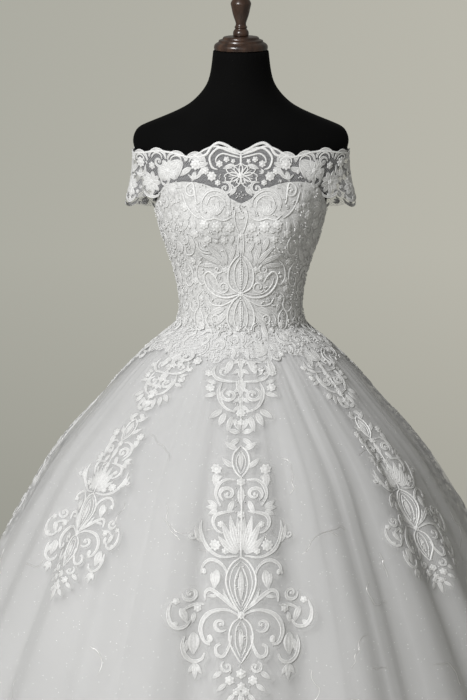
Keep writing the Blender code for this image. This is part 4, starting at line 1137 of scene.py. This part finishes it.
def scatter(strokes, across, down, allowed, seed, tries, sizes):
    """Sprigs over an area, kept off the strokes already there. Allowed tells which places may be filled."""
    dice = random.Random(seed)
    taken = set()

    def cells(points):
        return {(int(math.floor(u / SPRIG_CELL)), int(math.floor(v / SPRIG_CELL))) for u, v in points}

    for points, _ in strokes:
        taken |= cells(points[:, :2])
    made = []
    for _ in range(tries):
        u, v = dice.uniform(*across), dice.uniform(*down)
        if cells([(u, v)]) & taken or not allowed(np.array([u]), np.array([v])):
            continue
        size, turn = dice.uniform(*sizes), dice.uniform(0, 360)
        kind, a, b = dice.random(), math.sin(math.radians(turn)), math.cos(math.radians(turn))
        bow = dice.choice((-1, 1))

        def swung(*places):
            return [(u + size * MM * (a * p - b * q * bow), v + size * MM * (b * p + a * q * bow)) for p,
                q in places]

        if kind < 0.22:
            sprig = comma(u, v, 0.0100 * size, turn, dice.uniform(0.8, 1.2), bow)
        elif kind < 0.44:
            line = swung((-15, 5), (-8, -4), (2, -3), (9, 4), (16, 2))
            sprig = [band(line, [w * size for w in (1.5, 4.5, 5.5, 4.0, 1.5)]), button(*line[0], 0.0026 * size)]
        elif kind < 0.56:
            sprig = [leaf(u, v, turn, 0.028 * size, 0.0110 * size, dice.uniform(-0.3, 0.3))]
        elif kind < 0.66:
            sprig = [leaf(u, v, turn + t, 0.022 * size, 0.0080 * size, t * -0.004) for t in (-38, 0, 38)]
        elif kind < 0.76:
            sprig = [rosette(u, v, 0.0085 * size, dice.choice((5, 6, 7)), 0.0015, turn)]
        elif kind < 0.92:
            sprig = [
                cord(swung((-14, 4), (-5, -3), (5, -3), (14, 4)), 0.0026),
                cord(swung((-9, 6), (-3, 1), (4, 1), (10, 6)), 0.0022),
            ]
        else:
            sprig = [bead(*place, 0.0014) for place in swung((0, 0), (4, 2), (-4, 2))]
        sprig = flat_list(sprig)
        place = set().union(*(cells(points[:, :2]) for points, _ in sprig))
        if place & taken:
            continue
        corners = np.concatenate([points[:, :2] for points, _ in sprig])
        if not allowed(corners[:, 0], corners[:, 1]):
            continue
        taken |= place
        made += sprig
    return made


front_chart, back_chart = BodyChart(body_cloth), BodyChart(body_cloth, True)


def on_panels(chart, limit):
    """Whether places lie on the panels, within a distance of the chart's centre."""

    def allowed(u, v):
        angles, heights = chart.spots(u, v)
        inside = (heights < edge_at(bodice_edge, angles) - 0.0005) & (heights > WAIST - 0.001)
        return bool(np.all(inside & (np.abs(u) < limit(heights))))

    return allowed


def half_way(heights):
    """The distance from the centre front to the side, at each height."""
    rows = np.interp(heights, body_cloth.heights, np.arange(len(BODY_ROWS)))
    return 0.5 * body_cloth.arcs[np.round(rows).astype(int), 360]


PANEL_AREA = ((-0.24, 0.24), (0.05, 0.33))
LARGE, SMALL = (0.9, 1.5), (0.4, 0.8)
BESIDE_ZIP = 0.006
front_lace = figure_strokes()
for seed, tries, sizes in ((21, 5000, LARGE), (25, 9000, SMALL)):
    front_lace += scatter(front_lace, *PANEL_AREA, on_panels(front_chart, half_way), seed, tries, sizes)
back_lace = [(p, f) for p, f in figure_strokes() if np.abs(p[:, 0]).min() > 0.008 and p[:, 1].min() > 0.10]
for seed, tries, sizes in ((22, 5000, LARGE), (26, 9000, SMALL)):
    back_lace += scatter(
        back_lace, *PANEL_AREA,
        lambda u, v: np.abs(u).min() > BESIDE_ZIP and on_panels(back_chart, half_way)(u, v), seed, tries, sizes,
    )
lay("bodice_lace_front", front_lace, front_chart, embroidery)
lay("bodice_lace_back", back_lace, back_chart, embroidery)


# Yoke and sleeve lace: sewn on the net band, with a wide flower in the middle of the front, a corded
# scalloped edge round the shoulders, and leaves that hang over the sleeves' hems.
PETAL_EDGE = (
    (0, 0), (-0.40, 0.35), (-0.52, 0.68), (-0.30, 0.97), (0, 0.90), (0.30, 0.97), (0.52, 0.68), (0.40, 0.35),
    (0, 0)
)


def petal(u, v, turn, length, width):
    """A flower's petal, corded round its edge with two veins, and open to the net between them."""
    angle = math.radians(turn)
    made = []
    for way, thick in (
        (PETAL_EDGE, 0.0024), (((-0.05, 0.25), (-0.16, 0.74)), 0.0016), (((0.05, 0.25), (0.16, 0.74)), 0.0016),
    ):
        flat = [(x * width, y * length) for x, y in way]
        turned_way = [
            (u + x * math.cos(angle) + y * math.sin(angle),
                v - x * math.sin(angle) + y * math.cos(angle)) for x, y in flat
        ]
        made.append(cord(turned_way, thick, 0.0013))
    return made


def yoke_strokes():
    """The figure of the yoke's middle, across and down from the top of its chart."""
    half = [
        cord(in_metres((0, 0), (14, -5), (28, -13), (42, -16), (54, -8), (62, 4), (74, 9)), 0.0056, 0.0020),
        cord(in_metres((1, 5), (20, -1), (38, -7), (50, 0), (57, 12), (52, 27), (42, 31)), 0.0046, 0.0018),
        cord(in_metres((2, 10), (18, 6), (34, 3), (44, 10), (46, 19)), 0.0034, 0.0014),
        rosette(0.026, 0.013, 0.0060, 5), rosette(0.039, 0.021, 0.0070, 6), rosette(0.014, 0.016, 0.0045, 5),
        leaf(0.012, 0.022, 70, 0.022, 0.009), rosette(0.053, 0.043, 0.0095, 7),
        rosette(0.064, 0.034, 0.0070, 6),
        comma(0.028, 0.064, 0.0120, 150, 1.2, 1), leaf(0.008, 0.062, 40, 0.020, 0.008),
        rosette(0.042, 0.054, 0.0060, 6),
        leaf(0.060, 0.020, 75, 0.028, 0.011), leaf(0.060, 0.027, 52, 0.026, 0.010),
        leaf(0.066, 0.014, 98, 0.030, 0.011),
    ]
    petals = []
    for k in range(9):
        turn = 40 * k
        long = 0.015 + 0.016 * abs(math.sin(math.radians(turn)))
        petals += petal(0.0, 0.041, turn, long, 0.0150)
    middle = petals + [rosette(0, 0.041, 0.0070, 7, 0.0028), cord(in_metres((0, 2), (0, 12), (0, 24)), 0.0044)]
    return mirrored(flat_list(half)) + flat_list(middle)


def edge_cord(angles, edge, lift, width, height):
    """A cord along an edge of the band."""
    heights = edge_at(edge, angles)
    return cord(list(zip(band_cloth.across_at(angles, heights), CHART_TOP - heights + lift)), width, height)


band_chart = BodyChart(band_cloth)
around = np.arange(-180 + HALF_ZIP, 180.1 - HALF_ZIP, 2.0)


def on_band(u, v):
    """Whether places lie on the band of net, clear of the zip."""
    angles, heights = band_chart.spots(u, v)
    top, bottom = edge_at(band_top, angles), edge_at(band_bottom, angles)
    return bool(np.all((heights < top + 0.001) & (heights > bottom - 0.002) & (np.abs(angles) < 180 - HALF_ZIP)))


band_lace = yoke_strokes()
band_lace += [edge_cord(around, band_top, 0.0025, 0.0040, 0.0014)]


def lobe(u, top, side, seed):
    """One lobe of the edge round the shoulders: a corded arch with a curl, leaves and a flower under it."""
    dice = random.Random(seed)
    arch = [(u + x * MM, top + y * MM) for x, y in ((-17, 10), (-14, 2), (-4, -4), (7, -3), (15, 3), (18, 12))]
    inner = [(u + x * MM, top + y * MM) for x, y in ((-12, 12), (-8, 5), (0, 2), (8, 5), (10, 13))]
    made = [band(arch, (3, 6, 7, 6, 3)), cord(inner, 0.0030)]
    if seed % 3 == 0:
        made += [comma(u - side * 0.003, top + 0.018, 0.0095, 90, 1.2, side),
            rosette(u + side * 0.013, top + 0.026, 0.0075, 6)]
        made += [leaf(u, top + 0.030, side * t, 0.027, 0.0095, 0.2 * side) for t in (-58, -24)]
    elif seed % 3 == 1:
        made += [rosette(u, top + 0.016, 0.0105, 8, 0.0020),
            leaf(u + side * 0.008, top + 0.022, side * 66, 0.026, 0.0110, 0.2)]
        sweep = [(u + side * x * MM, top + y * MM) for x, y in ((-12, 20), (-8, 34), (4, 40), (14, 34))]
        made += [band(sweep, (2, 6, 6, 2)), leaf(u, top + 0.028, side * 20, 0.020, 0.0090)]
    else:
        made += [leaf(u - side * 0.012, top + 0.012, side * t, 0.034, 0.0110, -0.15 * side) for t in (84, 58,
            30)]
        made += [comma(u + side * 0.010, top + 0.038, 0.0080, dice.uniform(0, 180), 1.1, -side),
            button(u - side * 0.014, top + 0.030, 0.0045)]
    return flat_list(made)


def hem_flower(u, foot, seed):
    """One flower over the sleeve's hem, with a corded scallop hanging past the edge of the net."""
    dice = random.Random(seed)
    made = [leaf(u, foot - 0.021, 40 * k + dice.uniform(-9, 9), 0.021, 0.0105, 0.1, 0.0016,
        1.2) for k in range(9)]
    made += [rosette(u, foot - 0.021, 0.0060, 6, 0.0026)]
    edge = [(u + x * MM, foot + y * MM) for x, y in ((-17, -4), (-12, 3), (0, 6 + dice.uniform(-1, 2)),
        (12, 3), (17, -4))]
    made += [band(edge, (2, 5, 6, 5, 2)), leaf(u, foot - 0.002, dice.uniform(-25, 25), 0.012, 0.007)]
    return flat_list(made)


BAND_AREA = ((-0.56, 0.56), (-0.02, 0.125))
LOBE_BELOW_EDGE = 0.003
for side in (-1, 1):
    for k, degrees in enumerate((46, 59, 70, 80, 90, 101, 113, 127, 142, 158)):
        top = edge_at(band_top, side * degrees)
        u = band_cloth.across_at([side * degrees], [top])[0]
        band_lace += lobe(u, CHART_TOP - top + LOBE_BELOW_EDGE, side, 40 + k)
    for k, degrees in enumerate((62, 74, 85, 96, 108, 119)):
        foot = edge_at(band_bottom, side * degrees)
        u = band_cloth.across_at([side * degrees], [foot])[0]
        band_lace += hem_flower(u, CHART_TOP - foot, 60 + k)
for seed, tries, sizes in ((23, 8000, (0.7, 1.2)), (24, 9000, SMALL)):
    band_lace += scatter(band_lace, *BAND_AREA, on_band, seed, tries, sizes)
# Its low parts are painted darker, as shade, down to 0.60 of the colour.
open_threads = thread_finish("open_embroidery", (0.95, 0.95, 0.945), 0.4, 0.60)
lay("band_lace", band_lace, band_chart, open_threads)


# Waist lace: a scalloped band of net under the waist seam, worked as closely as the bodice.
waist_radii = radii_of(faces_of("waist_lace"), SKIRT_ROWS)
waist_foot = edge_heights(waist_radii, SKIRT_ROWS, False)
waist_foot_at = edge_at(waist_foot, whole_turn)
waist_net = net_finish("waist_net", (0.90, 0.90, 0.90), 0.85)
OVER_THE_TULLE = 0.0011
waist_mesh = sheet_mesh(
    "waist_lace_net", tulle_cloth, whole_turn, waist_foot_at, WAIST * level, 12, True, OVER_THE_TULLE
)
give_cloth_map(waist_mesh, NET_CELL)
waist_piece = add_piece("waist_lace_net", waist_mesh, waist_net)
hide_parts("waist_lace")


class WaistChart:
    """Flat places round the waist, over its seam: round from the centre front, and down the cloth."""

    def __init__(self, top):
        below, above = SKIRT_ROWS < WAIST - 0.003, (BODY_ROWS > WAIST + 0.003) & (BODY_ROWS <= top)
        rows = np.concatenate((SKIRT_ROWS[below], BODY_ROWS[above]))
        radii = np.concatenate((outer_radii[below], body_cloth.radii[above]))
        self.cloth = Cloth(rows, radii)
        self.rows = rows[::-1]
        mean = radii.mean(axis=1)[::-1]
        self.down = np.concatenate(([0], np.cumsum(np.hypot(np.diff(self.rows), np.diff(mean)))))

    def spots(self, u, v):
        return np.degrees(u / WAIST_RADIUS), np.interp(v, self.down, self.rows)


WAIST_RADIUS = 0.155
waist_chart = WaistChart(1.092)


def near_waist(u, v):
    """Whether places lie on the waist lace or a little under it, clear of the centre back."""
    angles, heights = waist_chart.spots(u, v)
    foot = edge_at(waist_foot, angles) - 0.012 * (1 + np.sin(np.radians(angles * 7)))
    behind = np.abs(u) < math.pi * WAIST_RADIUS - 0.004
    return bool(np.all((heights > foot) & (v > 0.001) & behind))


waist_strokes = []
for seed, tries, sizes in ((31, 6000, LARGE), (32, 9000, (0.45, 0.9))):
    waist_strokes += scatter(waist_strokes, (-0.487, 0.487), (0.0, 0.13), near_waist, seed, tries, sizes)
lay("waist_lace_threads", waist_strokes, waist_chart, embroidery, 0.0016)


# Closing: a coil zip with its tapes down the centre back, from the waist seam to the top of the net.
# The teeth are small blocks in two rows that meet in the middle; the slider and its pull are nickelled.
TOOTH_PITCH = 0.0022
TOOTH_SIZE = (0.0016, 0.0011, 0.0010)
tape, tape_shader, tape_tree = plain_finish("zip_tape", (0.82, 0.82, 0.80), 0.7)
weave = tape_tree.nodes.new("ShaderNodeTexWave")
weave.inputs["Scale"].default_value = 700
weave_place = tape_tree.nodes.new("ShaderNodeTexCoord")
tape_tree.links.new(weave_place.outputs["Object"], weave.inputs["Vector"])
bump_from(tape_tree, tape_shader, weave.outputs["Fac"], 0.0002, 0.5)
chain_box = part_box("zip_chain")
chain_tree = faces_of("zip_chain")
chain_points, chain_faces = [], []
for strip in (-1, 1):
    first, rows = len(chain_points), 120
    for j in range(rows + 1):
        z = chain_box[0][2] + 0.0004 + (chain_box[1][2] - chain_box[0][2] - 0.0008) * j / rows
        spot = chain_tree.ray_cast(Vector((0.0, 0.5, z)), Vector((0, -1, 0)))[0]
        chain_points += [(x * strip, spot.y - 0.0006, z) for x in (0.0021, 0.0003)]
        chain_points += [(x * strip, spot.y - 0.0014, z) for x in (0.0003, 0.0021)]
    ring = [(4 * j + k, 4 * j + (k + 1) % 4, 4 * j + 4 + (k + 1) % 4,
        4 * j + 4 + k) for j in range(rows) for k in range(4)]
    ring += [(0, 3, 2, 1), (4 * rows, 4 * rows + 1, 4 * rows + 2, 4 * rows + 3)]
    chain_faces += [tuple(first + i for i in f) for f in ring]
tape_mesh = bpy.data.meshes.new("zip_tapes")
tape_mesh.from_pydata(chain_points, [], chain_faces)
tape_work = bmesh.new()
tape_work.from_mesh(tape_mesh)
bmesh.ops.recalc_face_normals(tape_work, faces=tape_work.faces)
tape_work.to_mesh(tape_mesh)
tape_work.free()
tape_piece = add_piece("zip_tapes", tape_mesh, tape)
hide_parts("zip_chain")
nickel, nickel_shader, nickel_tree = plain_finish("zip_nickel", (0.78, 0.78, 0.79), 0.25, 1.0)
bump_from(nickel_tree, nickel_shader, object_noise(nickel_tree, 900, 2.0), 0.00005, 0.4)
coil, coil_shader, coil_tree = plain_finish("zip_coil", (0.86, 0.86, 0.85), 0.35)
bump_from(coil_tree, coil_shader, object_noise(coil_tree, 1200, 2.0), 0.00005, 0.4)
teeth_work = bmesh.new()
count = int((chain_box[1][2] - chain_box[0][2] - 0.004) / TOOTH_PITCH)
for k in range(count):
    z = chain_box[0][2] + 0.002 + k * TOOTH_PITCH
    spot = chain_tree.ray_cast(Vector((0.0, 0.5, z)), Vector((0, -1, 0)))[0]
    side = 1 if k % 2 else -1
    tooth = bmesh.ops.create_cube(teeth_work, size=1.0)["verts"]
    for v in tooth:
        v.co = Vector((v.co.x * TOOTH_SIZE[0], v.co.y * TOOTH_SIZE[1],
            v.co.z * TOOTH_SIZE[2])) + Vector((side * 0.0004, spot.y - 0.0003, z))
teeth_mesh = bpy.data.meshes.new("zip_teeth")
teeth_work.to_mesh(teeth_mesh)
teeth_work.free()
teeth_piece = add_piece("zip_teeth", teeth_mesh, coil)
teeth_mesh.shade_flat()
for part, body in (("zip_slider", "dress_form"), ("zip_pull", "zip_pull")):
    metal_piece = add_piece(part + "_metal", smooth_copy(part + "_metal", part, 2), nickel, body)
    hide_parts(part)
